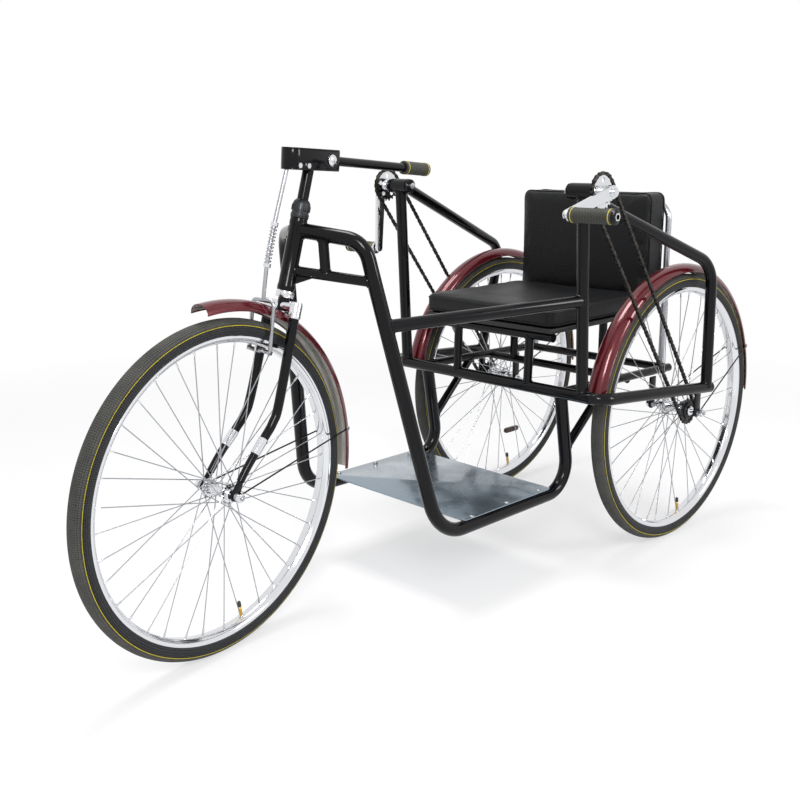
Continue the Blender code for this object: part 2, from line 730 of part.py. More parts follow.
def build_seat(board, vinyl, steel):
    """Seat board on the seat bar, its cushion, the backrest and its bow."""
    board_low = SEAT_BAR_HEIGHT + BRACE_TUBE / 2 + SEAT
    board_high = board_low + SEAT_BOARD_THICKNESS
    middle = (SEAT_REAR + SEAT_FRONT) / 2
    depth = SEAT_FRONT - SEAT_REAR
    outline = [(x + middle, y) for x, y in
               round_corners(depth - 2 * SEAT_BOARD_INSET, 2 * (SEAT_HALF_WIDTH - SEAT_BOARD_INSET), 0.02, 3)]
    plate("seat_board", outline, board_low, board_high, board, floor_place)

    cushion = pad("seat_cushion", board_high + SEAT, CUSHION_TOP - CUSHION_CROWN,
                  0.040, CUSHION_CROWN, vinyl, (depth, 2 * SEAT_HALF_WIDTH))
    cushion.location.x = middle
    backrest = pad("backrest_cushion", 0.0, BACKREST_THICKNESS - BACKREST_CROWN, 0.045,
                   BACKREST_CROWN, vinyl, (BACKREST_HEIGHT, 2 * SEAT_HALF_WIDTH))
    backrest.rotation_euler.y = math.pi / 2
    backrest.location = (SEAT_REAR - BACKREST_THICKNESS, 0.0, (BACKREST_BOTTOM + BACKREST_TOP) / 2)

    foot = INNER_RAIL_HEIGHT + INNER_RAIL_TUBE / 2 + SEAT
    corners = (
        (BOW_X, -BOW_HALF_WIDTH, foot),
        (BOW_X, -BOW_HALF_WIDTH, BACKREST_TOP - 0.035),
        (BOW_X, BOW_HALF_WIDTH, BACKREST_TOP - 0.035),
        (BOW_X, BOW_HALF_WIDTH, foot),
    )
    sweep("backrest_frame", rounded_path(corners, (0.045, 0.045)), BOW_TUBE / 2, steel, 10)


def fender_profile(radius):
    """Closed section of a fender: a half-round channel of sheet, (radius, offset) points."""
    outer = []
    inner = []
    for step in range(5):
        turn = math.pi / 4 * (step - 2)
        drop = FENDER_DEPTH * (1 - math.cos(turn))
        outer.append((radius - drop, FENDER_HALF_WIDTH * math.sin(turn)))
        inner.append((radius - FENDER_SHEET - drop, (FENDER_HALF_WIDTH - FENDER_SHEET) * math.sin(turn)))
    return outer + inner[::-1]


def build_fender(name, centre, radius, arc, finish):
    """A fender rolled about its centre, between two angles from straight ahead."""
    start, end = arc
    fender = turned(name, fender_profile(radius), finish, max(8, round((end - start) / 9)),
                    start_angle=math.radians(start), arc=math.radians(end - start))
    fender.data.transform(Matrix.Translation(centre))
    return fender


def add_stay(fender, axle, eye_y, centre, radius, angle, sign):
    """A wire stay: an eye on the axle, and a rod from it to the fender's side."""
    low = eye_y - STAY_EYE_THICKNESS / 2
    eye = tube_ring("eye", AXLE_DIAMETER / 2 + RUNNING, STAY_EYE_RADIUS, low, low + STAY_EYE_THICKNESS,
                    fender.data.materials[0], 12)
    eye.data.transform(Matrix.Translation((axle.x, 0.0, axle.z)))
    turn = math.radians(angle)
    reach = radius - FENDER_DEPTH + 0.004
    end = centre + Vector((reach * math.cos(turn), sign * (FENDER_HALF_WIDTH - FENDER_SHEET / 2),
                           reach * math.sin(turn)))
    hub = Vector((axle.x, eye_y, axle.z))
    start = hub + (end - hub).normalized() * (STAY_EYE_RADIUS - 0.0012)
    join(fender, bar("rod", start, end, STAY_RADIUS, fender.data.materials[0], 6), eye)


def build_rear_fenders(maroon):
    """Both rear fenders, each with a stay on either side of its wheel."""
    for side, sign in SIDES:
        centre = REAR_FENDER_CENTRE + Vector((0.0, sign * HALF_TRACK, 0.0))
        fender = build_fender(f"rear_fender_{side}", centre, REAR_FENDER_RADIUS, REAR_FENDER_ARC, maroon)
        clear = HANGER_THICKNESS / 2 + SEAT + STAY_EYE_THICKNESS / 2
        add_stay(fender, REAR_AXLE, sign * (OUTER_HANGER_Y + clear), centre,
                 REAR_FENDER_RADIUS, REAR_STAY_ANGLE, sign)
        add_stay(fender, REAR_AXLE, sign * (INNER_HANGER_Y + clear), centre,
                 REAR_FENDER_RADIUS, REAR_STAY_ANGLE, -sign)


def build_front_fender(maroon):
    """The front fender, whose stays run to the ends of the front axle."""
    fender = build_fender("front_fender", FRONT_FENDER_CENTRE, FRONT_FENDER_RADIUS, FRONT_FENDER_ARC, maroon)
    for sign in (1, -1):
        add_stay(fender, FRONT_AXLE, sign * (TIP_OUTER_Y + SEAT + STAY_EYE_THICKNESS / 2),
                 FRONT_FENDER_CENTRE, FRONT_FENDER_RADIUS, FRONT_STAY_ANGLE, sign)
    return fender


def build_wheel(prefix, flange_span, hub_low, hub_high, chrome, rubber):
    """One wheel about its own axle: tyre, and rim, spokes and hub in one body."""
    half = RIM_WIDTH / 2
    well = RIM_EDGE_RADIUS - 0.0069
    crown = RIM_EDGE_RADIUS - RIM_DEPTH
    half_facet = math.pi / WHEEL_FACETS
    rim = turned(f"{prefix}_wheel", (
        (RIM_EDGE_RADIUS, -half), (RIM_EDGE_RADIUS, -half + RIM_WALL),
        (well, -half + 0.0065), (well, half - 0.0065),
        (RIM_EDGE_RADIUS, half - RIM_WALL), (RIM_EDGE_RADIUS, half),
        (crown, half - 0.0095), (crown, -half + 0.0095),
    ), chrome, WHEEL_FACETS, start_angle=half_facet)

    tyre_base = well + SEAT
    turned(f"{prefix}_tyre", (
        (tyre_base, -half + 0.0070), (TYRE_RADIUS - 0.0195, -TYRE_WIDTH / 2),
        (TYRE_RADIUS - 0.0060, -TYRE_WIDTH * 0.40), (TYRE_RADIUS, 0.0),
        (TYRE_RADIUS - 0.0060, TYRE_WIDTH * 0.40),
        (TYRE_RADIUS - 0.0195, TYRE_WIDTH / 2), (tyre_base, half - 0.0070),
    ), rubber, WHEEL_FACETS, start_angle=half_facet)

    bore = AXLE_DIAMETER / 2 + RUNNING
    low_flange = -flange_span / 2
    high_flange = flange_span / 2
    thick = FLANGE_THICKNESS / 2
    hub = turned("hub", (
        (bore, hub_low), (HUB_BARREL_RADIUS, hub_low), (HUB_BARREL_RADIUS, low_flange - thick),
        (FLANGE_RADIUS, low_flange - thick), (FLANGE_RADIUS, low_flange + thick),
        (HUB_BARREL_RADIUS, low_flange + thick), (HUB_BARREL_RADIUS, high_flange - thick),
        (FLANGE_RADIUS, high_flange - thick), (FLANGE_RADIUS, high_flange + thick),
        (HUB_BARREL_RADIUS, high_flange + thick), (HUB_BARREL_RADIUS, hub_high), (bore, hub_high),
    ), chrome, 12)

    join(rim, build_spokes(low_flange, high_flange, crown, chrome), hub)
    return rim


def build_spokes(low_flange, high_flange, rim_radius, finish):
    """Laced spokes: leading and trailing ones from each flange, crossing three times."""
    bm = bmesh.new()
    hole_radius = FLANGE_RADIUS - 0.004
    for index in range(SPOKE_COUNT):
        rim_angle = 2 * math.pi * index / SPOKE_COUNT
        flange = high_flange if index % 2 else low_flange
        leading = 1 if (index // 2) % 2 else -1
        spread = leading * CROSSES * 2 * math.pi * 2 / SPOKE_COUNT
        hub_angle = rim_angle + spread
        outward = 1 if index % 2 else -1
        head_y = flange + outward * leading * (FLANGE_THICKNESS / 2 + SPOKE_DIAMETER * 0.35)
        start = Vector((hole_radius * math.cos(hub_angle), head_y, hole_radius * math.sin(hub_angle)))
        reach = rim_radius + 0.0035
        end = Vector((reach * math.cos(rim_angle), outward * 0.003, reach * math.sin(rim_angle)))
        along = (end - start).normalized()
        u = along.orthogonal().normalized()
        v = along.cross(u)
        rings = []
        for point in (start, end):
            ring = []
            for step in range(3):
                angle = 2 * math.pi * step / 3
                offset = (u * math.cos(angle) + v * math.sin(angle)) * SPOKE_DIAMETER / 2
                ring.append(bm.verts.new(point + offset))
            rings.append(ring)
        bm.faces.new(rings[0])
        bm.faces.new(rings[1])
        for step in range(3):
            nxt = (step + 1) % 3
            bm.faces.new((rings[0][step], rings[0][nxt], rings[1][nxt], rings[1][step]))
    return add_object("spokes", bm, finish)


def pitch_radius(teeth):
    """Radius of the circle through the chain's pins on a sprocket."""
    return CHAIN_PITCH / (2 * math.sin(math.pi / teeth))


def sprocket(name, teeth, inner, low, high, finish, phase):
    """A toothed ring about the Y axis with its first tooth gap at the phase angle."""
    radius = pitch_radius(teeth)
    root = radius - PIN_HALF_HEIGHT - TOOTH_CLEARANCE
    tip = radius + TOOTH_RISE
    outline = []
    for index in range(2 * teeth):
        angle = phase + math.pi * index / teeth
        size = root if index % 2 == 0 else tip
        outline.append((size * math.cos(angle), size * math.sin(angle)))
    ring = plate(name, outline, low, high, finish, side_place)
    if inner > 0:
        cope(ring, shaft("cut", inner, low - 0.01, high + 0.01, finish))
    return ring


def chain_loop(top, bottom):
    """Pins of the chain round the ring (top) and the freewheel (bottom), in order.

    Returns (place, outward direction) for each pin, and the phase angle of
    each sprocket.
    """
    line = top - bottom
    heading = math.atan2(line.y, line.x)
    lean = math.asin((pitch_radius(RING_TEETH) - pitch_radius(FREEWHEEL_TEETH)) / line.length)
    pins = []
    wraps = (
        (top, RING_TEETH, heading, math.pi / 2 + lean),
        (bottom, FREEWHEEL_TEETH, heading + math.pi, math.pi / 2 - lean),
    )
    for centre, teeth, middle, half_wrap in wraps:
        step = 2 * math.pi / teeth
        reach = math.floor(half_wrap / step + 0.25)
        for index in range(-reach, reach + 1):
            angle = middle + index * step
            outward = Vector((math.cos(angle), math.sin(angle)))
            pins.append((centre + outward * pitch_radius(teeth), outward))
        last = pins[-1][0]
        other_centre, other_teeth, other_middle, other_half = wraps[0 if centre is bottom else 1]
        other_step = 2 * math.pi / other_teeth
        other_reach = math.floor(other_half / other_step + 0.25)
        angle = other_middle - other_reach * other_step
        target = other_centre + Vector((math.cos(angle), math.sin(angle))) * pitch_radius(other_teeth)
        run = target - last
        count = round(run.length / CHAIN_PITCH)
        side = Vector((run.y, -run.x)).normalized()
        for index in range(1, count):
            pins.append((last + run * index / count, side))
    return pins, heading, heading + math.pi


def build_chain(name, top, bottom, finish):
    """The chain as one loop: pins and waists in its outline, grooved so that the teeth run free.

    Every second link is an outer one, whose plates cover the waist.
    """
    pins, _, _ = chain_loop(top, bottom)
    outer = []
    inner = []
    count = len(pins)
    for index, (place, outward) in enumerate(pins):
        next_place, next_outward = pins[(index + 1) % count]
        outer.append(place + outward * PIN_HALF_HEIGHT)
        inner.append(place - outward * PIN_HALF_HEIGHT)
        if index % 2 == 0:
            continue
        middle = (place + next_place) / 2
        direction = (outward + next_outward).normalized()
        outer.append(middle + direction * WAIST_HALF_HEIGHT)
        inner.append(middle - direction * WAIST_HALF_HEIGHT)
    bm = bmesh.new()
    low, high = -CHAIN_WIDTH / 2, CHAIN_WIDTH / 2
    layers = []
    for offset in (low, high):
        layers.append([[bm.verts.new((p.x, offset, p.y)) for p in line] for line in (outer, inner)])
    size = len(outer)
    for index in range(size):
        nxt = (index + 1) % size
        (outer_low, inner_low), (outer_high, inner_high) = layers
        bm.faces.new((outer_low[index], outer_low[nxt], outer_high[nxt], outer_high[index]))
        bm.faces.new((inner_low[index], inner_high[index], inner_high[nxt], inner_low[nxt]))
        bm.faces.new((outer_low[index], inner_low[index], inner_low[nxt], outer_low[nxt]))
        bm.faces.new((outer_high[index], outer_high[nxt], inner_high[nxt], inner_high[index]))
    chain = add_object(name, bm, finish)
    groove = SPROCKET_THICKNESS / 2 + TOOTH_CLEARANCE
    for centre, teeth in ((top, RING_TEETH), (bottom, FREEWHEEL_TEETH)):
        cope(chain, shaft("groove", pitch_radius(teeth) + TOOTH_RISE + TOOTH_CLEARANCE, -groove, groove,
                          finish, 2 * teeth, (centre.x, centre.y)))
    return chain


def place_at(item, parent):
    """Hang a piece on an empty without moving it from the empty's origin."""
    item.parent = parent
    return item


def axis_empty(name, place, parent=None):
    """An empty that marks a joint's axis and carries what turns on it."""
    empty = bpy.data.objects.new(name, None)
    bpy.context.scene.collection.objects.link(empty)
    empty.location = place
    empty.parent = parent
    return empty


def build_rear_wheels(chrome, rubber, dark):
    """Both rear wheels, each with its freewheel on the outer side."""
    for side, sign in SIDES:
        axle = axis_empty(f"rear_axle_axis_{side}", (0.0, sign * HALF_TRACK, TYRE_RADIUS))
        low, high = sorted((-sign * REAR_HUB_INNER, sign * REAR_HUB_OUTER))
        wheel = build_wheel(f"rear_{side}", REAR_FLANGE_SPAN, low, high, chrome, rubber)
        place_at(wheel, axle)
        place_at(bpy.data.objects[f"rear_{side}_tyre"], axle)
        middle = sign * (CHAIN_Y - HALF_TRACK)
        freewheel = sprocket(f"freewheel_{side}", FREEWHEEL_TEETH, HUB_BARREL_RADIUS + SEAT,
                             middle - SPROCKET_THICKNESS / 2, middle + SPROCKET_THICKNESS / 2,
                             dark, chain_phase()[1])
        low, high = sorted((middle - sign * 0.007, middle + sign * 0.005))
        join(freewheel, tube_ring("freewheel_body", HUB_BARREL_RADIUS + SEAT, FREEWHEEL_BODY_RADIUS,
                                  low, high, dark, 12))
        place_at(freewheel, axle)


def chain_ends():
    """Centres of the ring and the freewheel in the side plane."""
    return Vector((CRANK_AXLE_X, CRANK_AXLE_HEIGHT)), Vector((0.0, TYRE_RADIUS))


def chain_phase():
    """Angles at which the ring and the freewheel each have a tooth gap."""
    _, ring, freewheel = chain_loop(*chain_ends())
    return ring, freewheel


def build_chains(dark):
    """Both chains, in their planes outside the rear wheels."""
    for side, sign in SIDES:
        chain = build_chain(f"chain_{side}", *chain_ends(), dark)
        chain.location.y = sign * CHAIN_Y


def build_rear_axles(steel):
    """Spindles with their nuts, and the plates that hang them from the rails."""
    half = HANGER_THICKNESS / 2
    outer_nut = OUTER_HANGER_Y + half + 2 * SEAT + STAY_EYE_THICKNESS
    inner_nut = INNER_HANGER_Y - half - AXLE_NUT_LENGTH + 0.0005
    place = (REAR_AXLE.x, REAR_AXLE.z)
    for side, sign in SIDES:
        axle = shaft(f"rear_axle_{side}", AXLE_DIAMETER / 2, inner_nut - 0.004,
                     outer_nut + AXLE_NUT_LENGTH + 0.004, steel, centre=place)
        for middle, top in ((INNER_HANGER_Y, INNER_RAIL_HEIGHT - INNER_RAIL_TUBE / 2),
                            (OUTER_HANGER_Y, RAIL_END_HEIGHT - RAIL_TUBE / 2 + 0.002)):
            outline = [(HANGER_HALF_WIDTH, top - SEAT), (HANGER_HALF_WIDTH, TYRE_RADIUS)]
            for step in range(1, 8):
                angle = -math.pi * step / 8
                outline.append((HANGER_HALF_WIDTH * math.cos(angle),
                                TYRE_RADIUS + HANGER_HALF_WIDTH * math.sin(angle)))
            outline += [(-HANGER_HALF_WIDTH, TYRE_RADIUS), (-HANGER_HALF_WIDTH, top - SEAT)]
            join(axle, plate("hanger", outline, middle - half, middle + half, steel, side_place))
        for start in (inner_nut, outer_nut):
            join(axle, shaft("nut", AXLE_NUT_RADIUS, start, start + AXLE_NUT_LENGTH, steel, 6, place))
        if sign < 0:
            flip(axle)


def flip(item):
    """Mirror a piece across the machine's middle plane."""
    bm = bmesh.new()
    bm.from_mesh(item.data)
    for vert in bm.verts:
        vert.co.y = -vert.co.y
    bmesh.ops.reverse_faces(bm, faces=bm.faces)
    bm.to_mesh(item.data)
    bm.free()


def build_cranks(black, chrome, rubber):
    """Housings on the posts, and each crank with its ring and its grip."""
    for side, sign in SIDES:
        angle = LEFT_CRANK_ANGLE if sign > 0 else RIGHT_CRANK_ANGLE
        centre = Vector((CRANK_AXLE_X, 0.0, CRANK_AXLE_HEIGHT))
        housing = tube_ring(f"crank_housing_{side}", CRANK_SPINDLE_RADIUS + RUNNING, HOUSING_RADIUS,
                            *sorted((sign * HOUSING_INNER_Y, sign * HOUSING_OUTER_Y)), black, 12)
        housing.location = centre

        axis = axis_empty(f"crank_axis_{side}", centre)
        crank = shaft(f"crank_{side}", CRANK_SPINDLE_RADIUS, sign * (HOUSING_INNER_Y - 0.008),
                      sign * (CRANK_ARM_Y + 0.012), chrome)
        tip = Vector((CRANK_LENGTH * math.cos(angle), 0.0, CRANK_LENGTH * math.sin(angle)))
        outline = capsule((0.0, 0.0), (tip.x, tip.z), CRANK_ARM_WIDTH * 0.75, CRANK_ARM_WIDTH / 2)
        arm = plate("arm", outline, sign * CRANK_ARM_Y - CRANK_ARM_THICKNESS / 2,
                    sign * CRANK_ARM_Y + CRANK_ARM_THICKNESS / 2, chrome, side_place)
        grip_start = CRANK_ARM_Y + CRANK_ARM_THICKNESS / 2
        spindle = shaft("spindle", GRIP_SPINDLE_RADIUS, sign * (grip_start - 0.008),
                        sign * (grip_start + GRIP_LENGTH + 0.004), chrome, centre=(tip.x, tip.z))
        join(crank, arm, spindle)
        place_at(crank, axis)

        middle = sign * CHAIN_Y
        ring = sprocket(f"chainring_{side}", RING_TEETH, CRANK_SPINDLE_RADIUS + SEAT,
                        middle - SPROCKET_THICKNESS / 2, middle + SPROCKET_THICKNESS / 2,
                        chrome, chain_phase()[0])
        low, high = sorted((sign * (HOUSING_OUTER_Y + 0.002),
                            sign * (CRANK_ARM_Y - CRANK_ARM_THICKNESS / 2 - SEAT)))
        join(ring, tube_ring("boss", CRANK_SPINDLE_RADIUS + SEAT, RING_BOSS_RADIUS, low, high, chrome, 12))
        place_at(ring, axis)

        grip_axis = axis_empty(f"grip_axis_{side}", tip, axis)
        low, high = sorted((sign * (grip_start + 0.003), sign * (grip_start + GRIP_LENGTH)))
        bore = GRIP_SPINDLE_RADIUS + RUNNING
        grip = turned(f"grip_{side}", (
            (bore, low), (GRIP_RADIUS, low), (GRIP_RADIUS, low + 0.006),
            (GRIP_RADIUS - 0.0015, low + 0.010), (GRIP_RADIUS - 0.0015, high - 0.010),
            (GRIP_RADIUS, high - 0.006), (GRIP_RADIUS, high), (bore, high),
        ), rubber, 12)
        place_at(grip, grip_axis)


def stand_on_axis(item):
    """Turn a piece made round the Z axis so that it stands on the steering axis."""
    turn = Vector((0.0, 0.0, 1.0)).rotation_difference(AXIS_DIRECTION).to_matrix().to_4x4()
    item.data.transform(Matrix.Translation(AXIS_FOOT) @ turn)


def build_fork(black):
    """Column, crown with its sockets, and the two raked blades with their tip plates."""
    cup_low = HEAD_BOTTOM - CUP_HEIGHT
    nut_low = HEAD_TOP + HEADSET_GAP
    nut_high = nut_low + TOP_NUT_HEIGHT - HEADSET_GAP
    fork = turned("fork", (
        (STEERER_BORE, CROWN_MIDDLE), (STEERER_RADIUS, CROWN_MIDDLE),
        (STEERER_RADIUS, cup_low), (CUP_RADIUS, cup_low), (CUP_RADIUS, HEAD_BOTTOM - HEADSET_GAP),
        (STEERER_RADIUS, HEAD_BOTTOM - HEADSET_GAP), (STEERER_RADIUS, nut_low),
        (CUP_RADIUS, nut_low), (CUP_RADIUS, nut_high - 0.012), (CUP_RADIUS - 0.006, nut_high),
        (STEERER_RADIUS, nut_high), (STEERER_RADIUS, COLUMN_TOP), (STEERER_BORE, COLUMN_TOP),
    ), black, 16, axis="Z")
    stand_on_axis(fork)
    middle = on_axis(CROWN_MIDDLE)
    join(fork, shaft("bridge", CROWN_HEIGHT / 2, -BLADE_SPREAD, BLADE_SPREAD, black, 14,
                     (middle.x, middle.z)))
    for sign in (1, -1):
        socket = bar("socket", on_axis(CROWN_TOP - CROWN_HEIGHT - SOCKET_DROP, aside=sign * BLADE_SPREAD),
                     on_axis(CROWN_TOP, aside=sign * BLADE_SPREAD), SOCKET_RADIUS, black)
        points = []
        radii = []
        for up, ahead in BLADE_BOW:
            spread = BLADE_TIP_SPREAD + (BLADE_SPREAD - BLADE_TIP_SPREAD) * up
            points.append(on_axis(CROWN_MIDDLE * up, FORK_OFFSET * ahead, sign * spread))
            radii.append(BLADE_TIP_RADIUS + (BLADE_RADIUS - BLADE_TIP_RADIUS) * up)
        end = points[-1]
        outline = capsule((end.x, end.z), (FRONT_AXLE.x, FRONT_AXLE.z), 0.006, TIP_PLATE_RADIUS)
        low, high = sorted((sign * (TIP_OUTER_Y - TIP_PLATE_THICKNESS), sign * TIP_OUTER_Y))
        join(fork, socket, sweep("blade", points, radii, black, 10),
             plate("tip", outline, low, high, black, side_place))
    cope(fork, shaft("cut", AXLE_DIAMETER / 2 + SEAT, -0.1, 0.1, black,
                     centre=(FRONT_AXLE.x, FRONT_AXLE.z)))
    return fork


def bracket_middle():
    """The point of the steering axis in the middle of the tiller bracket."""
    return on_axis(COLUMN_TOP + COLUMN_INSIDE)


def tilted_place(tilt):
    """How a piece made flat about the bracket's middle leans down to the rear."""
    ahead = Vector((math.cos(tilt), 0.0, math.sin(tilt)))
    above = Vector((-math.sin(tilt), 0.0, math.cos(tilt)))

    def place(a, b, c):
        return bracket_middle() + ahead * a + Vector((0.0, b, 0.0)) + above * c

    return place


def bracket_outline(rear, front, half_width):
    """Outline of the tiller bracket: square at the rear, round in front."""
    points = []
    for step in range(9):
        turn = -math.pi / 2 + math.pi * step / 8
        points.append((front - half_width + half_width * math.cos(turn), half_width * math.sin(turn)))
    return points + [(rear, half_width), (rear, -half_width)]


def build_tiller(black, rubber):
    """Bracket on top of the column, the tiller bar on its pivot, and the grip."""
    place = tilted_place(BRACKET_TILT)
    half = BRACKET_HEIGHT / 2
    bracket = plate("tiller_bracket", bracket_outline(-BRACKET_REAR, BRACKET_FRONT, BRACKET_WIDTH / 2),
                    -half, half, black, place)
    cavity = plate("cavity", bracket_outline(-BRACKET_REAR - 0.01, BRACKET_FRONT - BRACKET_WALL,
                                             BRACKET_WIDTH / 2 - BRACKET_WALL),
                   -half + BRACKET_WALL, half - BRACKET_WALL, black, place)
    cope(bracket, cavity, bar("cut", on_axis(HEAD_TOP), on_axis(COLUMN_TOP + SEAT),
                              STEERER_RADIUS + SEAT, black, 16),
         sweep("cut", lengthened(brake_rod_path()), BRAKE_ROD_RADIUS + SEAT, black, 8))

    lean = tilted_place(TILLER_TILT)
    pivot = place(-PIVOT_BEHIND_AXIS, 0.0, 0.0)
    along = lean(-1.0, 0.0, 0.0) - lean(0.0, 0.0, 0.0)
    grip_end = pivot + along * TILLER_LENGTH
    bar_end = grip_end - along * 0.006
    bar_start = pivot - along * TILLER_BAR_AHEAD
    tiller = bar("tiller_bar", bar_start, bar_end, TILLER_BAR_RADIUS, black, 12)
    grip = bar("tiller_grip", grip_end - along * TILLER_GRIP_LENGTH, grip_end, TILLER_GRIP_RADIUS, rubber, 16)
    cope(grip, bar("cut", bar_start, bar_end + along * SEAT, TILLER_BAR_RADIUS + SEAT, rubber, 16))

    centre = (pivot.x, pivot.z)
    wall = BRACKET_WIDTH / 2
    bolt = shaft("bolt", PIVOT_RADIUS, -wall - 0.002, wall + 0.002, black, 12, centre)
    for sign in (1, -1):
        start = sign * (wall + SEAT)
        join(bolt, shaft("bolt_head", PIVOT_HEAD_RADIUS, start, start + sign * PIVOT_HEAD_THICKNESS,
                         black, 12, centre))
    join(tiller, bolt)
    cope(bracket, shaft("cut", PIVOT_RADIUS + SEAT, -wall - 0.01, wall + 0.01, black, 12, centre))
    return bracket, tiller, grip


def brake_rod_path():
    """Centre line of the brake rod, from inside the bracket down to the stirrup."""
    places = [on_axis(*place) for place in BRAKE_ROD_PLACES]
    return places + [on_axis(*STIRRUP_BRIDGE)]


def build_brake(steel):
    """The brake rod, the stirrup over the front wheel and its two shoes."""
    leg_y = FENDER_HALF_WIDTH + BRAKE_ROD_RADIUS + 0.0006
    legs = []
    for sign in (1, -1):
        leg = [on_axis(*STIRRUP_FOOT, sign * (SHOE_INNER_Y + 0.002)),
               on_axis(*STIRRUP_FOOT, sign * leg_y), on_axis(*STIRRUP_BRIDGE, sign * leg_y)]
        legs += leg if sign > 0 else leg[::-1]
    brake = sweep("brake_stirrup", rounded_path(legs, (0.005, 0.010, 0.010, 0.005)),
                  BRAKE_ROD_RADIUS, steel, 8)
    join(brake, sweep("rod", brake_rod_path(), BRAKE_ROD_RADIUS, steel, 8))
    foot = on_axis(*STIRRUP_FOOT)
    outward = (foot - FRONT_AXLE).normalized()
    along = Vector((outward.z, 0.0, -outward.x))

    def on_rim(a, b, c):
        return foot + along * a + Vector((0.0, b, 0.0)) + outward * c

    half = SHOE_LENGTH / 2
    for sign in (1, -1):
        low, high = sorted((sign * SHOE_INNER_Y, sign * SHOE_OUTER_Y))
        outline = ((-half, low), (half, low), (half, high), (-half, high))
        join(brake, plate("shoe", outline, -SHOE_HEIGHT / 2, SHOE_HEIGHT / 2, steel, on_rim))
    return brake


def build_front_axle(steel):
    """Spindle and nuts of the front wheel."""
    nut = TIP_OUTER_Y + 2 * SEAT + STAY_EYE_THICKNESS
    end = nut + AXLE_NUT_LENGTH + 0.005
    place = (FRONT_AXLE.x, FRONT_AXLE.z)
    axle = shaft("front_axle", AXLE_DIAMETER / 2, -end, end, steel, centre=place)
    for sign in (1, -1):
        join(axle, shaft("nut", AXLE_NUT_RADIUS, sign * nut, sign * (nut + AXLE_NUT_LENGTH), steel, 6, place))
    return axle


def build_steering(black, chrome, rubber, maroon, steel):
    """Everything that turns with the fork, turned to the angle it rests at."""
    pivot = axis_empty("steering_axis", AXIS_FOOT)
    pivot.rotation_mode = "QUATERNION"
    pivot.rotation_quaternion = Matrix.Rotation(STEER_ANGLE, 3, AXIS_DIRECTION).to_quaternion()
    pieces = [build_fork(black), *build_tiller(black, rubber), build_brake(steel),
              build_front_axle(steel), build_front_fender(maroon)]
    for piece in pieces:
        piece.parent = pivot
        piece.matrix_parent_inverse = Matrix.Translation(-AXIS_FOOT)
    wheel_axis = axis_empty("front_wheel_axis", FRONT_AXLE, pivot)
    wheel_axis.matrix_parent_inverse = Matrix.Translation(-AXIS_FOOT)
    wheel = build_wheel("front", FRONT_FLANGE_SPAN, -FRONT_HUB_LENGTH / 2, FRONT_HUB_LENGTH / 2,
                        chrome, rubber)
    place_at(wheel, wheel_axis)
    place_at(bpy.data.objects["front_tyre"], wheel_axis)


def centre_machine():
    """Move the machine so that the origin is under the middle of its box."""
    bpy.context.view_layer.update()
    reach = []
    for item in bpy.data.objects:
        if item.type == "MESH":
            reach += [(item.matrix_world @ vert.co).x for vert in item.data.vertices]
    root = axis_empty("tricycle", (-(min(reach) + max(reach)) / 2, 0.0, 0.0))
    for item in list(bpy.data.objects):
        if item.parent is None and item is not root:
            item.parent = root


def build():
    """Model the whole tricycle."""
    reset_scene()
    black = make_finish("black_enamel", (0.006, 0.007, 0.010), 0.2, 0.0)
    chrome = make_finish("chrome_plate", (0.75, 0.75, 0.77), 0.15, 1.0)
    rubber = make_finish("black_rubber", (0.02, 0.021, 0.022), 0.8, 0.0)
    maroon = make_finish("maroon_enamel", (0.17, 0.006, 0.015), 0.25, 0.3)
    steel = make_finish("bare_steel", (0.35, 0.36, 0.38), 0.4, 1.0)
    vinyl = make_finish("black_vinyl", (0.02, 0.022, 0.025), 0.45, 0.0)
    board = make_finish("seat_board", (0.03, 0.03, 0.03), 0.6, 0.0)

    build_frame_tubes(black)
    build_footboard(steel)
    build_seat(board, vinyl, steel)
    build_rear_fenders(maroon)
    build_rear_wheels(chrome, rubber, steel)
    build_rear_axles(steel)
    build_chains(steel)
    build_cranks(black, chrome, rubber)
    build_steering(black, chrome, rubber, maroon, steel)
    centre_machine()


build()
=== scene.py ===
"""The looks of a hand-propelled tricycle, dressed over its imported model.

Metres, +X forward, +Y left, +Z up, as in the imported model. Every part is
modelled anew, smoother and with its fittings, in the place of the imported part
that it stands for.
"""

import logging
import math
from collections.abc import Callable, Iterable, Sequence
from dataclasses import dataclass, field
from enum import Enum

import bpy
from mathutils import Matrix, Vector


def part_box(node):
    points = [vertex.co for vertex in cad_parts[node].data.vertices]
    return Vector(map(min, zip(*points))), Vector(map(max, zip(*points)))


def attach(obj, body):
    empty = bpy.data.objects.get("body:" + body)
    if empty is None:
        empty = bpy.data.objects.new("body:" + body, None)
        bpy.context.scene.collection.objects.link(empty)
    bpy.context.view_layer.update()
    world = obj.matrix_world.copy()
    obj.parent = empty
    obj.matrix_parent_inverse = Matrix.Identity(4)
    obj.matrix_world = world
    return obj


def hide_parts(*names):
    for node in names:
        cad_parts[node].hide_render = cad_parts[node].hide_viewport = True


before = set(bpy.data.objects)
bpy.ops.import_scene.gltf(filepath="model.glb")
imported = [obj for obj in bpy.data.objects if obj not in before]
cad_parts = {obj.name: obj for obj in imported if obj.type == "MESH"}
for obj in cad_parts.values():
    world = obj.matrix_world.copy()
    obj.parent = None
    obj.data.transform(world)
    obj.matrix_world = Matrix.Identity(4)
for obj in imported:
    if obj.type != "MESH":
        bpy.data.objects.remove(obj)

LOG = logging.getLogger("tricycle")
IMAGE_SIZE = 800.0
SIDES = (("left", 1), ("right", -1))

Item = bpy.types.Object
Face = bpy.types.MeshPolygon
Socket = bpy.types.NodeSocket
Place = Callable[[float, float, float], Vector]
Host = tuple[Vector, Vector, float]


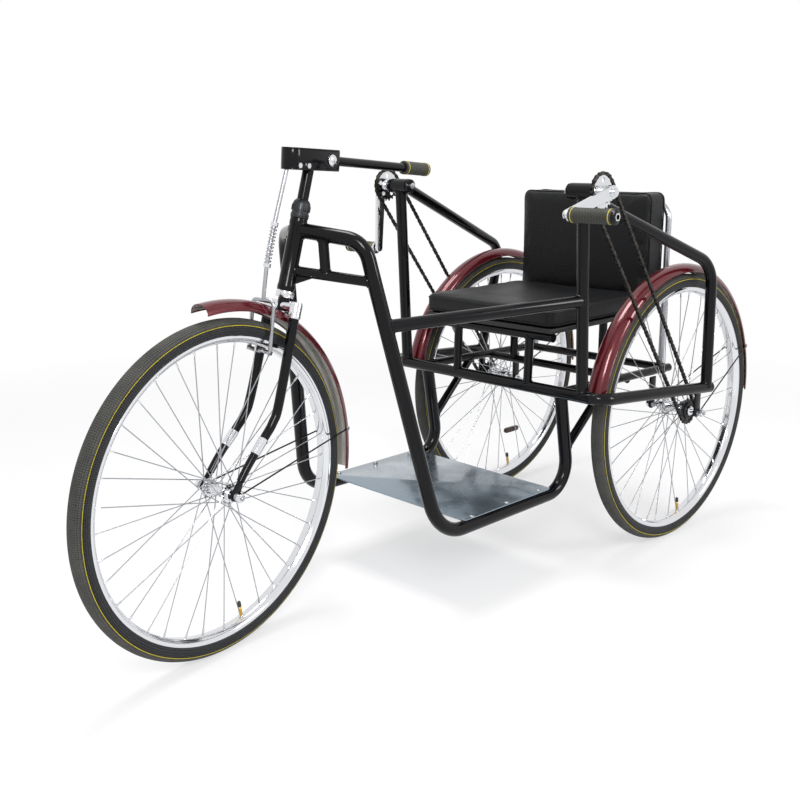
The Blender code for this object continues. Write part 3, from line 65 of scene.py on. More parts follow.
def linear(colour: str) -> tuple[float, float, float, float]:
    """Turn an sRGB hex colour into linear values.

    Args:
        colour: The colour as six hex digits after a hash sign.

    Returns:
        Red, green, blue and an alpha of one.
    """
    values = [int(colour[index:index + 2], 16) / 255 for index in (1, 3, 5)]
    red, green, blue = (v / 12.92 if v <= 0.04045 else ((v + 0.055) / 1.055) ** 2.4 for v in values)
    return red, green, blue, 1.0


def add_node(tree: bpy.types.NodeTree, kind: str, inputs: dict | None = None, **settings) -> bpy.types.Node:
    """Add a node with its settings and its links.

    Args:
        tree: The node tree that gets the node.
        kind: Blender's name for the type of node.
        inputs: For each input, by name or number, a plain value or the socket that feeds it.
        settings: The node's own properties.

    Returns:
        The new node.
    """
    node = tree.nodes.new(kind)
    for key, value in settings.items():
        setattr(node, key, value)
    for key, value in (inputs or {}).items():
        if isinstance(value, Socket):
            tree.links.new(value, node.inputs[key])
        else:
            node.inputs[key].default_value = value
    return node


@dataclass(frozen=True)
class Surface:
    """A material that is being made: its tree, its shader and Object coordinates in metres."""

    tree: bpy.types.NodeTree
    shader: bpy.types.Node
    place: Socket

    def feed(self, socket: str, source: Socket) -> None:
        """Link a pattern to one of the shader's sockets."""
        self.tree.links.new(source, self.shader.inputs[socket])

    def mottled(self, patch: float, low: float, high: float, detail: float = 5.0) -> Socket:
        """Make a pattern of cloudy patches.

        Args:
            patch: The patches' size in metres.
            low: The value between patches.
            high: The value on them.
            detail: How ragged their edges are.

        Returns:
            The pattern's value.
        """
        cloud = add_node(self.tree, "ShaderNodeTexNoise",
                         {"Vector": self.place, "Scale": 1 / patch, "Detail": detail})
        return add_node(self.tree, "ShaderNodeMapRange", {
            "Value": cloud.outputs["Fac"], "From Min": 0.3, "From Max": 0.7,
            "To Min": low, "To Max": high}).outputs["Result"]

    def dulled(self, patch: float, roughness: float, more: float, detail: float = 5.0) -> None:
        """Make the surface rougher in patches of a size, by at most an amount."""
        self.feed("Roughness", self.mottled(patch, roughness, roughness + more, detail))

    def pressed(self, height: Socket, depth: float, strength: float = 1.0) -> None:
        """Press a pattern of heights into the surface, this many metres deep."""
        self.feed("Normal", add_node(self.tree, "ShaderNodeBump", {
            "Height": height, "Distance": depth, "Strength": strength}).outputs["Normal"])

    def rippled(self, scale: float, depth: float, strength: float = 1.0, detail: float = 2.0,
                stretch: tuple[float, float, float] | None = None) -> None:
        """Press fine ripples into the surface.

        Args:
            scale: Ripples in a metre, or in a stretched unit.
            depth: How deep they are, in metres.
            strength: How much of that depth shows.
            detail: How many finer ripples ride on them.
            stretch: Stretched units in a metre along each axis; none for plain metres.
        """
        place = self.place
        if stretch:
            place = add_node(self.tree, "ShaderNodeMapping", {"Vector": place, "Scale": stretch}).outputs["Vector"]
        noise = add_node(self.tree, "ShaderNodeTexNoise", {"Vector": place, "Scale": scale, "Detail": detail})
        self.pressed(noise.outputs["Fac"], depth, strength)

    def tinted(self, share: Socket, first: str, second: str) -> None:
        """Colour the surface with one colour, and with another where a pattern says so."""
        self.feed("Base Color", add_node(self.tree, "ShaderNodeMix", {
            0: share, 6: linear(first), 7: linear(second)}, data_type="RGBA").outputs[2])


@dataclass(frozen=True)
class Finish:
    """A surface as its maker would name it, with the values that every finish has."""

    name: str
    colour: str
    roughness: float
    metallic: float = 0.0

    def material(self) -> bpy.types.Material:
        """Return the material for this finish, made on its first use."""
        made = bpy.data.materials.get(self.name)
        if made is None:
            made = bpy.data.materials.new(self.name)
            made.use_nodes = True
            tree = made.node_tree
            shader = tree.nodes["Principled BSDF"]
            for socket, value in {"Base Color": linear(self.colour), "Roughness": self.roughness,
                                  "Metallic": self.metallic, **self.gloss()}.items():
                shader.inputs[socket].default_value = value
            self.dress(Surface(tree, shader, add_node(tree, "ShaderNodeTexCoord").outputs["Object"]))
        return made

    def gloss(self) -> dict[str, float]:
        """The constant values of this finish's top layer, by shader socket."""
        return {}

    def dress(self, surface: Surface) -> None:
        """Add the patterns of this finish to its surface."""


@dataclass(frozen=True)
class StoveEnamel(Finish):
    """Black stoved enamel on steel tube: a deep gloss with a slight orange peel."""

    peel: float = 0.004       # ripples a few millimetres wide, as stoving leaves them
    dust: float = 0.09

    def gloss(self) -> dict[str, float]:
        """A thin clear layer over an enamel that reflects little."""
        return {"Specular IOR Level": 0.15, "Coat Weight": 0.15, "Coat Roughness": 0.03}

    def dress(self, surface: Surface) -> None:
        """Add the ripples and a thin bloom of dust."""
        surface.dulled(self.dust, self.roughness, 0.12, 6.0)
        surface.rippled(1 / self.peel, 0.00005)


@dataclass(frozen=True)
class FlakeEnamel(Finish):
    """Maroon metallic enamel: aluminium flakes under a tinted gloss coat."""

    flake: float = 0.0022     # real flakes are under 0.1 mm; drawn coarse so that they show
    flake_colour: str = "#8E1226"

    def gloss(self) -> dict[str, float]:
        """The tinted coat over the flakes."""
        return {"Specular IOR Level": 0.3, "Coat Weight": 0.55, "Coat Roughness": 0.03}

    def dress(self, surface: Surface) -> None:
        """Add the flakes, and the ripples of the coat."""
        cells = add_node(surface.tree, "ShaderNodeTexVoronoi", {"Vector": surface.place, "Scale": 1 / self.flake})
        sparkle = add_node(surface.tree, "ShaderNodeMapRange", {
            "Value": cells.outputs["Distance"], "From Max": 0.6, "To Min": 0.5, "To Max": 0.0})
        surface.tinted(sparkle.outputs["Result"], self.colour, self.flake_colour)
        surface.rippled(200.0, 0.00005)


@dataclass(frozen=True)
class Plating(Finish):
    """Bright plating: chromium or zinc over polished steel, lightly fogged by handling."""

    fog: float = 0.08         # how much rougher the handled patches are
    patch: float = 0.05

    def dress(self, surface: Surface) -> None:
        """Add the fogged patches and fine polishing marks."""
        surface.dulled(self.patch, self.roughness, self.fog)
        surface.rippled(330.0, 0.00003, 0.6)


@dataclass(frozen=True)
class MouldedRubber(Finish):
    """Vulcanised rubber: black, matt, with the pale bloom that storage brings out."""

    bloom: str = "#4A4A47"
    patch: float = 0.045

    def dress(self, surface: Surface) -> None:
        """Add the bloom and the mould's fine texture."""
        surface.tinted(surface.mottled(self.patch, 0.0, 0.45, 6.0), self.colour, self.bloom)
        surface.rippled(400.0, 0.0001)


@dataclass(frozen=True)
class GrainedVinyl(Finish):
    """Upholstery vinyl: leather grain pressed into black PVC, with shallow hide creases."""

    grain: float = 0.0042     # real grain is about 1.5 mm; drawn coarser so that it shows
    crease: float = 0.055
    worn: float = 0.125

    def gloss(self) -> dict[str, float]:
        """The sheen of the plasticised top."""
        return {"Specular IOR Level": 0.24}

    def dress(self, surface: Surface) -> None:
        """Add the pressed grain, the creases and the worn patches."""
        tree, place = surface.tree, surface.place
        cells = add_node(tree, "ShaderNodeTexVoronoi", {"Vector": place, "Scale": 1 / self.grain},
                         feature="DISTANCE_TO_EDGE")
        pebbles = add_node(tree, "ShaderNodeMapRange", {"Value": cells.outputs["Distance"], "From Max": 0.25})
        folds = add_node(tree, "ShaderNodeTexNoise", {"Vector": place, "Scale": 1 / self.crease, "Detail": 3.0})
        height = add_node(tree, "ShaderNodeMath", {0: folds.outputs["Fac"], 1: 4.0, 2: pebbles.outputs["Result"]},
                          operation="MULTIPLY_ADD")
        surface.pressed(height.outputs[0], 0.0003)
        surface.dulled(self.worn, self.roughness - 0.05, 0.17)


@dataclass(frozen=True)
class OiledSteel(Finish):
    """Blued or raw chain steel, darkened by oil and road dust."""

    grime: str = "#1B1916"
    patch: float = 0.012

    def dress(self, surface: Surface) -> None:
        """Add patches of old oil, which are darker and rougher."""
        surface.tinted(surface.mottled(self.patch, 0.0, 1.0), self.colour, self.grime)
        surface.dulled(self.patch, self.roughness, 0.3)


@dataclass(frozen=True)
class RolledPlate(Finish):
    """Cold-rolled steel plate with a clear lacquer: blue-grey, smooth, faintly brushed along its length."""

    scuff: float = 1 / 14
    brushing: tuple[float, float, float] = (6.0, 160.0, 160.0)

    def gloss(self) -> dict[str, float]:
        """The lacquer."""
        return {"Coat Weight": 0.4, "Coat Roughness": 0.08}

    def dress(self, surface: Surface) -> None:
        """Add rolling marks that run along X, and scuffs where feet rest."""
        surface.rippled(1.0, 0.00005, 0.7, 3.0, self.brushing)
        surface.dulled(self.scuff, self.roughness, 0.22, 7.0)


@dataclass(frozen=True)
class PaintedPly(Finish):
    """Plywood painted black: the veneer's grain shows through as fine ridges."""

    grain: tuple[float, float, float] = (14.0, 260.0, 260.0)

    def dress(self, surface: Surface) -> None:
        """Add the grain, which runs along X."""
        surface.rippled(1.0, 0.0002, 1.0, 5.0, self.grain)


BLACK_ENAMEL = StoveEnamel("black_stoved_enamel", "#060609", 0.12)
MAROON_ENAMEL = FlakeEnamel("maroon_flake_enamel", "#4C0611", 0.24, 0.35)
CHROME = Plating("chromium_plate", "#DCDDE0", 0.06, 1.0)
ZINC = Plating("bright_zinc_plate", "#A9ABAF", 0.22, 1.0, 0.16, 0.02)
GALVANISED = Plating("galvanised_sheet", "#B9B6B0", 0.34, 0.8, 0.2, 0.03)
BRASS = Plating("lacquered_brass", "#C8A24A", 0.2, 1.0, 0.1, 0.01)
TYRE_RUBBER = MouldedRubber("moulded_tyre_rubber", "#17181A", 0.6, bloom="#2B2C2E")
TREAD_RUBBER = MouldedRubber("dusty_tread_rubber", "#3A3A38", 0.8, bloom="#5C5B56")
PINSTRIPE = MouldedRubber("yellow_sidewall_line", "#C9B92E", 0.6, bloom="#A99A2C")
GRIP_RUBBER = MouldedRubber("moulded_grip_rubber", "#2A2A25", 0.62, bloom="#3B3A33")
SHOE_RUBBER = MouldedRubber("brake_shoe_rubber", "#3A2A24", 0.7)
VINYL = GrainedVinyl("grained_black_vinyl", "#0A0B0D", 0.38)
CHAIN_STEEL = OiledSteel("oiled_chain_steel", "#4B4844", 0.35, 0.9)
DARK_STEEL = OiledSteel("blued_headset_steel", "#3E4042", 0.3, 0.8, "#26272A", 0.02)
FOOT_PLATE = RolledPlate("lacquered_rolled_plate", "#8795A0", 0.14, 0.85)
REFLECTOR = MouldedRubber("dark_amber_reflector", "#2A1408", 0.15, bloom="#3A1E0C")
SEAT_PLY = PaintedPly("black_painted_plywood", "#101010", 0.5)


class Slot(Enum):
    """The record's material slots."""

    ENAMEL = "enamel"
    FENDER = "fender"
    CHROME = "chrome"
    STEEL = "steel"
    CHAIN = "chain"
    FOOTBOARD = "footboard"
    TYRE = "tyre"
    GRIP = "grip"
    VINYL = "vinyl"
    BOARD = "board"


# Modelling with Blender's own operators

def deselect() -> None:
    """Leave edit mode and select nothing."""
    if bpy.context.object is not None and bpy.context.object.mode != "OBJECT":
        bpy.ops.object.mode_set(mode="OBJECT")
    bpy.ops.object.select_all(action="DESELECT")


def pick(item: Item, *others: Item) -> None:
    """Select the items, and make the first one active."""
    deselect()
    for each in (item, *others):
        each.select_set(True)
    bpy.context.view_layer.objects.active = item


def wire(name: str, points: Iterable[Sequence[float]], closed: bool = False) -> Item:
    """Draw a chain of edges: a plane shrunk to one corner, then extruded from point to point.

    Args:
        name: The new object's name.
        points: The places along the chain.
        closed: Whether the chain returns to its first point.

    Returns:
        An object of edges only.
    """
    route = [Vector(point) for point in points]
    if closed:
        route.append(route[0])
    deselect()
    bpy.ops.mesh.primitive_plane_add(size=0.01)
    item = bpy.context.object
    item.name = name
    bpy.ops.object.mode_set(mode="EDIT")
    bpy.ops.mesh.merge(type="CENTER")
    bpy.ops.transform.translate(value=route[0])
    for before, after in zip(route, route[1:]):
        bpy.ops.mesh.extrude_vertices_move(TRANSFORM_OT_translate={"value": after - before})
    if closed:
        bpy.ops.mesh.select_all(action="SELECT")
        bpy.ops.mesh.remove_doubles(threshold=2e-5)
    bpy.ops.object.mode_set(mode="OBJECT")
    return item


def close_up(item: Item) -> Item:
    """Merge doubles, fill open ends and turn the faces outwards.

    Args:
        item: The shape to close.

    Returns:
        The same item.
    """
    pick(item)
    bpy.ops.object.mode_set(mode="EDIT")
    bpy.ops.mesh.select_all(action="SELECT")
    bpy.ops.mesh.remove_doubles(threshold=1e-5)
    bpy.ops.mesh.fill_holes(sides=0)
    bpy.ops.mesh.select_all(action="SELECT")
    bpy.ops.mesh.normals_make_consistent(inside=False)
    bpy.ops.object.mode_set(mode="OBJECT")
    return item


def turn_on_lathe(name: str, profile: Iterable[Sequence[float]], steps: int = 32, arc: float = math.tau,
                  start: float = 0.0, closed: bool = False) -> Item:
    """Spin an outline about the Y axis.

    Args:
        name: The new object's name.
        profile: (radius, offset along Y) points; an open one starts and ends on the axis.
        steps: Facets round the arc.
        arc: How far the outline turns, from +X towards +Z.
        start: The angle at which it starts.
        closed: Whether the outline is a closed loop.

    Returns:
        A closed solid.
    """
    ahead = Vector((math.cos(start), 0.0, math.sin(start)))
    item = wire(name, [ahead * radius + Vector((0.0, offset, 0.0)) for radius, offset in profile], closed)
    bpy.ops.object.mode_set(mode="EDIT")
    bpy.ops.mesh.select_all(action="SELECT")
    bpy.ops.mesh.spin(steps=steps, angle=arc, center=(0.0, 0.0, 0.0), axis=(0.0, 1.0, 0.0))
    bpy.ops.object.mode_set(mode="OBJECT")
    return close_up(item)


def bend_tube(name: str, points: Iterable[Sequence[float]], radius: float, sides: int = 20,
              radii: Sequence[float] | None = None, closed: bool = False) -> Item:
    """Sweep a round section along a path.

    Args:
        name: The new object's name.
        points: The tube's centre line.
        radius: The section's radius.
        sides: Facets round the section.
        radii: The radius at each point, where it changes.
        closed: Whether the path is a ring.

    Returns:
        A tube with closed ends, or a closed ring.
    """
    route = [Vector(point) for point in points]
    item = wire(name, route, closed)
    bpy.ops.object.convert(target="CURVE")
    curve = item.data
    curve.bevel_depth = radius
    curve.bevel_resolution = (sides - 4) // 2
    curve.use_fill_caps = not closed
    if radii is not None:
        spline = curve.splines[0].points
        reverse = (spline[0].co.to_3d() - route[0]).length > (spline[-1].co.to_3d() - route[0]).length
        for knot, size in zip(spline, reversed(radii) if reverse else radii):
            knot.radius = size / radius
    bpy.ops.object.convert(target="MESH")
    return close_up(bpy.context.object)


def upright(x: float, z: float, y: float) -> Vector:
    """Place an outline that lies in a plane across Y."""
    return Vector((x, y, z))


def flat(x: float, y: float, z: float) -> Vector:
    """Place an outline that lies level."""
    return Vector((x, y, z))


def cut_plate(name: str, outline: Iterable[Sequence[float]], low: float, high: float, place: Place = upright,
              soft: float = 0.0, segments: int = 2) -> Item:
    """Extrude an outline to a plate, and soften its edges.

    Args:
        name: The new object's name.
        outline: Two numbers for each corner.
        low: Where the plate starts along its normal.
        high: Where it ends.
        place: Puts the outline's two numbers and the height into space.
        soft: Width of the softened edges; none if zero.
        segments: Facets across a softened edge.

    Returns:
        A closed plate.
    """
    item = wire(name, [place(a, b, low) for a, b in outline], closed=True)
    bpy.ops.object.mode_set(mode="EDIT")
    bpy.ops.mesh.select_all(action="SELECT")
    bpy.ops.mesh.edge_face_add()
    rise = place(0.0, 0.0, high) - place(0.0, 0.0, low)
    bpy.ops.mesh.extrude_region_move(TRANSFORM_OT_translate={"value": rise})
    bpy.ops.object.mode_set(mode="OBJECT")
    close_up(item)
    if soft:
        bpy.ops.object.modifier_add(type="BEVEL")
        item.modifiers[0].width = soft
        item.modifiers[0].segments = segments
        item.modifiers[0].angle_limit = math.radians(40)
        bpy.ops.object.modifier_apply(modifier=item.modifiers[0].name)
    return item


def placed(item: Item, matrix: Matrix) -> Item:
    """Move the item's mesh, and leave the object at the origin.

    Args:
        item: What is moved.
        matrix: The move; a mirrored one keeps the faces looking outwards.

    Returns:
        The same item.
    """
    item.data.transform(matrix)
    if matrix.determinant() < 0:
        item.data.flip_normals()
    return item


def twin(item: Item, matrix: Matrix) -> Item:
    """Copy an item with a mesh of its own, and place the copy.

    Args:
        item: The pattern.
        matrix: From the pattern's place to the copy's.

    Returns:
        The copy.
    """
    copy = item.copy()
    copy.data = item.data.copy()
    bpy.context.scene.collection.objects.link(copy)
    return placed(copy, matrix)


def joined(name: str, items: Sequence[Item]) -> Item:
    """Make one piece of several.

    Args:
        name: The joined piece's name.
        items: What is joined.

    Returns:
        The first item, which holds the others' meshes too.
    """
    pick(*items)
    bpy.ops.object.join()
    items[0].name = name
    return items[0]


def painted(item: Item, finish: Finish) -> Item:
    """Cover the whole item with one finish.

    Args:
        item: What is covered.
        finish: What it is covered with.

    Returns:
        The same item.
    """
    item.data.materials.clear()
    item.data.materials.append(finish.material())
    return item


def painted_where(item: Item, finish: Finish, test: Callable[[Face], bool]) -> Item:
    """Cover the faces that pass a test with one more finish.

    Args:
        item: An item that has its first finish.
        finish: The further one.
        test: Whether a face gets it.

    Returns:
        The same item.
    """
    item.data.materials.append(finish.material())
    for face in item.data.polygons:
        if test(face):
            face.material_index = len(item.data.materials) - 1
    return item


def fitted(item: Item, name: str, body: str, slot: Slot, *replaced: str, smooth: float = 35.0) -> None:
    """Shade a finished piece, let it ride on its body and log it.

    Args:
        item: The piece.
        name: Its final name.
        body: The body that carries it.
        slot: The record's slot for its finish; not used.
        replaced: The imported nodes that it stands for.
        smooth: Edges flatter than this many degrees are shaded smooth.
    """
    item.name = name
    item.data.name = name
    pick(item)
    bpy.ops.object.shade_smooth_by_angle(angle=math.radians(smooth))
    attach(item, body)
    if replaced:
        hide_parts(*replaced)
    LOG.info("%s: %d faces on %s", name, len(item.data.polygons), body)


# Places, all measured from the ground under the rear axle

REAR_LOW, REAR_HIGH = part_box("rear_left_wheel")
AXLE_X = (REAR_LOW.x + REAR_HIGH.x) / 2
HEAD_ANGLE = math.radians(16.08)
AXIS_UP = Vector((-math.sin(HEAD_ANGLE), 0.0, math.cos(HEAD_ANGLE)))
AXIS_AHEAD = Vector((AXIS_UP.z, 0.0, -AXIS_UP.x))
STEER_ANGLE = math.radians(8.3)
WHEEL_RADIUS = 0.3555
FORK_OFFSET = 0.080
FRONT_AXLE = Vector((AXLE_X + 1.2412, 0.0, WHEEL_RADIUS))
AXIS_FOOT = FRONT_AXLE - AXIS_AHEAD * FORK_OFFSET
STEERED = (Matrix.Translation(AXIS_FOOT) @ Matrix.Rotation(STEER_ANGLE, 4, AXIS_UP)
           @ Matrix.Translation(-AXIS_FOOT))
HALF_TRACK = 0.3026


def turned_to(direction: Vector) -> Matrix:
    """The turn that lays the Y axis along a direction."""
    return Vector((0.0, 1.0, 0.0)).rotation_difference(direction.normalized()).to_matrix().to_4x4()


UP_THE_AXIS = Matrix.Translation(AXIS_FOOT) @ turned_to(AXIS_UP)


def at(x: float, y: float, z: float) -> Vector:
    """A place measured from the ground under the rear axle."""
    return Vector((x + AXLE_X, y, z))


def on_axis(distance: float, ahead: float = 0.0, aside: float = 0.0) -> Vector:
    """A place up the steering axis from its foot, ahead of it or beside it, with the wheel straight."""
    return AXIS_FOOT + AXIS_UP * distance + AXIS_AHEAD * ahead + Vector((0.0, aside, 0.0))


def rounded(corners: Sequence[Sequence[float]], bends: Sequence[float], steps: int = 10) -> list[Vector]:
    """Bend a path's inner corners.

    Args:
        corners: The path's corner points.
        bends: The bend radius at each inner corner.
        steps: Chords in each bend.

    Returns:
        The points of the bent path.
    """
    points = [Vector(corners[0])]
    for index, bend in enumerate(bends, start=1):
        corner = Vector(corners[index])
        into = (corner - Vector(corners[index - 1])).normalized()
        out = (Vector(corners[index + 1]) - corner).normalized()
        turn = into.angle(out)
        reach = bend * math.tan(turn / 2)
        middle = corner + (out - into).normalized() * (bend / math.cos(turn / 2))
        first = corner - into * reach
        axis = into.cross(out).normalized()
        for step in range(steps + 1):
            points.append(middle + Matrix.Rotation(turn * step / steps, 3, axis) @ (first - middle))
    points.append(Vector(corners[-1]))
    return points


def flowing(knots: Sequence[Vector], steps: int = 6) -> list[Vector]:
    """Draw a smooth line through knots.

    Args:
        knots: The places that it passes through.
        steps: Chords between two knots.

    Returns:
        The line's points.
    """
    points = []
    last = len(knots) - 1
    for index in range(last):
        before, start, end, after = (knots[max(index - 1, 0)], knots[index], knots[index + 1],
                                     knots[min(index + 2, last)])
        for step in range(steps):
            t = step / steps
            points.append(0.5 * ((2 * start) + (end - before) * t
                                 + (2 * before - 5 * start + 4 * end - after) * t * t
                                 + (3 * start - before - 3 * end + after) * t ** 3))
    return points + [Vector(knots[-1])]


def other_side(points: Iterable[Vector], sign: int) -> list[Vector]:
    """The same points on the left (+1) or right (-1) side."""
    return [Vector((point[0], point[1] * sign, point[2])) for point in points]


def at_height(points: Sequence[Vector], height: float) -> Vector:
    """Find the first place along a path that lies at a height.

    Args:
        points: The path.
        height: The height above the ground.

    Returns:
        The place.

    Raises:
        ValueError: The path never reaches the height.
    """
    for first, second in zip(points, points[1:]):
        if min(first.z, second.z) <= height <= max(first.z, second.z):
            return first.lerp(second, (height - first.z) / (second.z - first.z))
    raise ValueError(f"the path never reaches {height}")


def capsule(start: Sequence[float], end: Sequence[float], start_radius: float, end_radius: float,
            steps: int = 10) -> list[tuple[float, float]]:
    """Draw the outline of a link that is round about both of its ends.

    Args:
        start: The first end's centre.
        end: The second end's centre.
        start_radius: The radius about the first.
        end_radius: The radius about the second.
        steps: Chords in each half circle.

    Returns:
        The outline's corners.
    """
    heading = math.atan2(end[1] - start[1], end[0] - start[0])
    points = []
    for centre, radius, first in ((start, start_radius, heading + math.pi / 2),
                                  (end, end_radius, heading - math.pi / 2)):
        for step in range(steps + 1):
            turn = first + math.pi * step / steps
            points.append((centre[0] + radius * math.cos(turn), centre[1] + radius * math.sin(turn)))
    return points


def polygon(radius: float, count: int, turn: float = 0.0) -> list[tuple[float, float]]:
    """The corners of a regular outline."""
    return [(radius * math.cos(turn + math.tau * step / count), radius * math.sin(turn + math.tau * step / count))
            for step in range(count)]


def round_cornered(low: Sequence[float], high: Sequence[float], radius: float, grow: float = 0.0,
                   steps: int = 8) -> list[tuple[float, float]]:
    """Draw a level rectangle with round corners.

    Args:
        low: Its lowest corner before it grows.
        high: Its highest corner.
        radius: The corners' radius.
        grow: How far it is grown, or shrunk if negative.
        steps: Chords in each corner.

    Returns:
        The outline's corners.
    """
    points = []
    for index, (x, y) in enumerate(((high[0], high[1]), (low[0], high[1]), (low[0], low[1]), (high[0], low[1]))):
        inward = ((-1, -1), (1, -1), (1, 1), (-1, 1))[index]
        for step in range(steps + 1):
            turn = math.pi / 2 * (index + step / steps)
            points.append((x + inward[0] * (radius - grow) + radius * math.cos(turn),
                           y + inward[1] * (radius - grow) + radius * math.sin(turn)))
    return points


def weld_bead(start: Vector, end: Vector, radius: float, host: tuple[Vector, Vector], host_radius: float,
              size: float = 0.0024, count: int = 26) -> Item:
    """Lay a bead where a tube meets the tube that it is welded to.

    Args:
        start: A place inside the welded tube, away from the joint.
        end: Its centre line's end on the host's centre line.
        radius: The welded tube's radius.
        host: Two places on the host's centre line.
        host_radius: The host's radius.
        size: The bead's radius.
        count: Points round the bead.

    Returns:
        The bead, as a ring.
    """
    along = (end - start).normalized()
    across = along.orthogonal().normalized()
    beside = along.cross(across)
    spine = (host[1] - host[0]).normalized()
    ring = []
    for step in range(count):
        turn = math.tau * step / count
        first = start + (across * math.cos(turn) + beside * math.sin(turn)) * radius
        gap = first - host[0]
        ray = along - spine * along.dot(spine)
        gap -= spine * gap.dot(spine)
        a, b, c = ray.dot(ray), 2 * ray.dot(gap), gap.dot(gap) - host_radius ** 2
        root = b * b - 4 * a * c
        ring.append(first + along * ((-b - math.sqrt(max(root, 0.0))) / (2 * a)))
    return bend_tube("weld_bead", ring, size, 8, closed=True)


def ribbed_grip(name: str, radius: float, bore: float, length: float, ribs: int) -> Item:
    """Mould a grip along Y: ribs round its middle, and a yellow ring near each end.

    Args:
        name: The new object's name.
        radius: Out to its ends.
        bore: The bar's radius.
        length: Its length.
        ribs: How many ribs it has.

    Returns:
        The grip, painted.
    """
    land = 0.013
    pitch = (length - 2 * land) / ribs
    outline = [(bore, 0.0), (radius - 0.0012, 0.0), (radius, 0.0012), (radius, land - 0.002)]
    for index in range(ribs):
        start = land + pitch * index
        outline += [(radius - 0.0016, start), (radius - 0.0016, start + pitch * 0.25),
                    (radius - 0.0004, start + pitch * 0.45), (radius - 0.0004, start + pitch * 0.85)]
    outline += [(radius, length - land + 0.002), (radius, length - 0.0012), (radius - 0.0012, length),
                (bore, length)]
    grip = painted(turn_on_lathe(name, outline, 36, closed=True), GRIP_RUBBER)
    rings = []
    for middle in (0.0065, length - 0.0065):
        rings.append(painted(turn_on_lathe("ring", (
            (radius - 0.0004, middle - 0.0012), (radius + 0.0001, middle - 0.0010),
            (radius + 0.0001, middle + 0.0010), (radius - 0.0004, middle + 0.0012)), 36, closed=True), PINSTRIPE))
    return joined(name, [grip, *rings])


def spindle(low: float, high: float) -> Item:
    """A plated wheel spindle along Y between two places, with its ends chamfered."""
    return painted(turn_on_lathe("spindle", (
        (0.0, low), (0.0040, low), (0.00475, low + 0.0008), (0.00475, high - 0.0008), (0.0040, high),
        (0.0, high)), 20), ZINC)


def axle_nut(start: float, end: float) -> Item:
    """A plated hexagon nut along Y, centred on the axle."""
    return painted(cut_plate("nut", polygon(0.0104, 6), *sorted((start, end)), upright, 0.0009), CHROME)


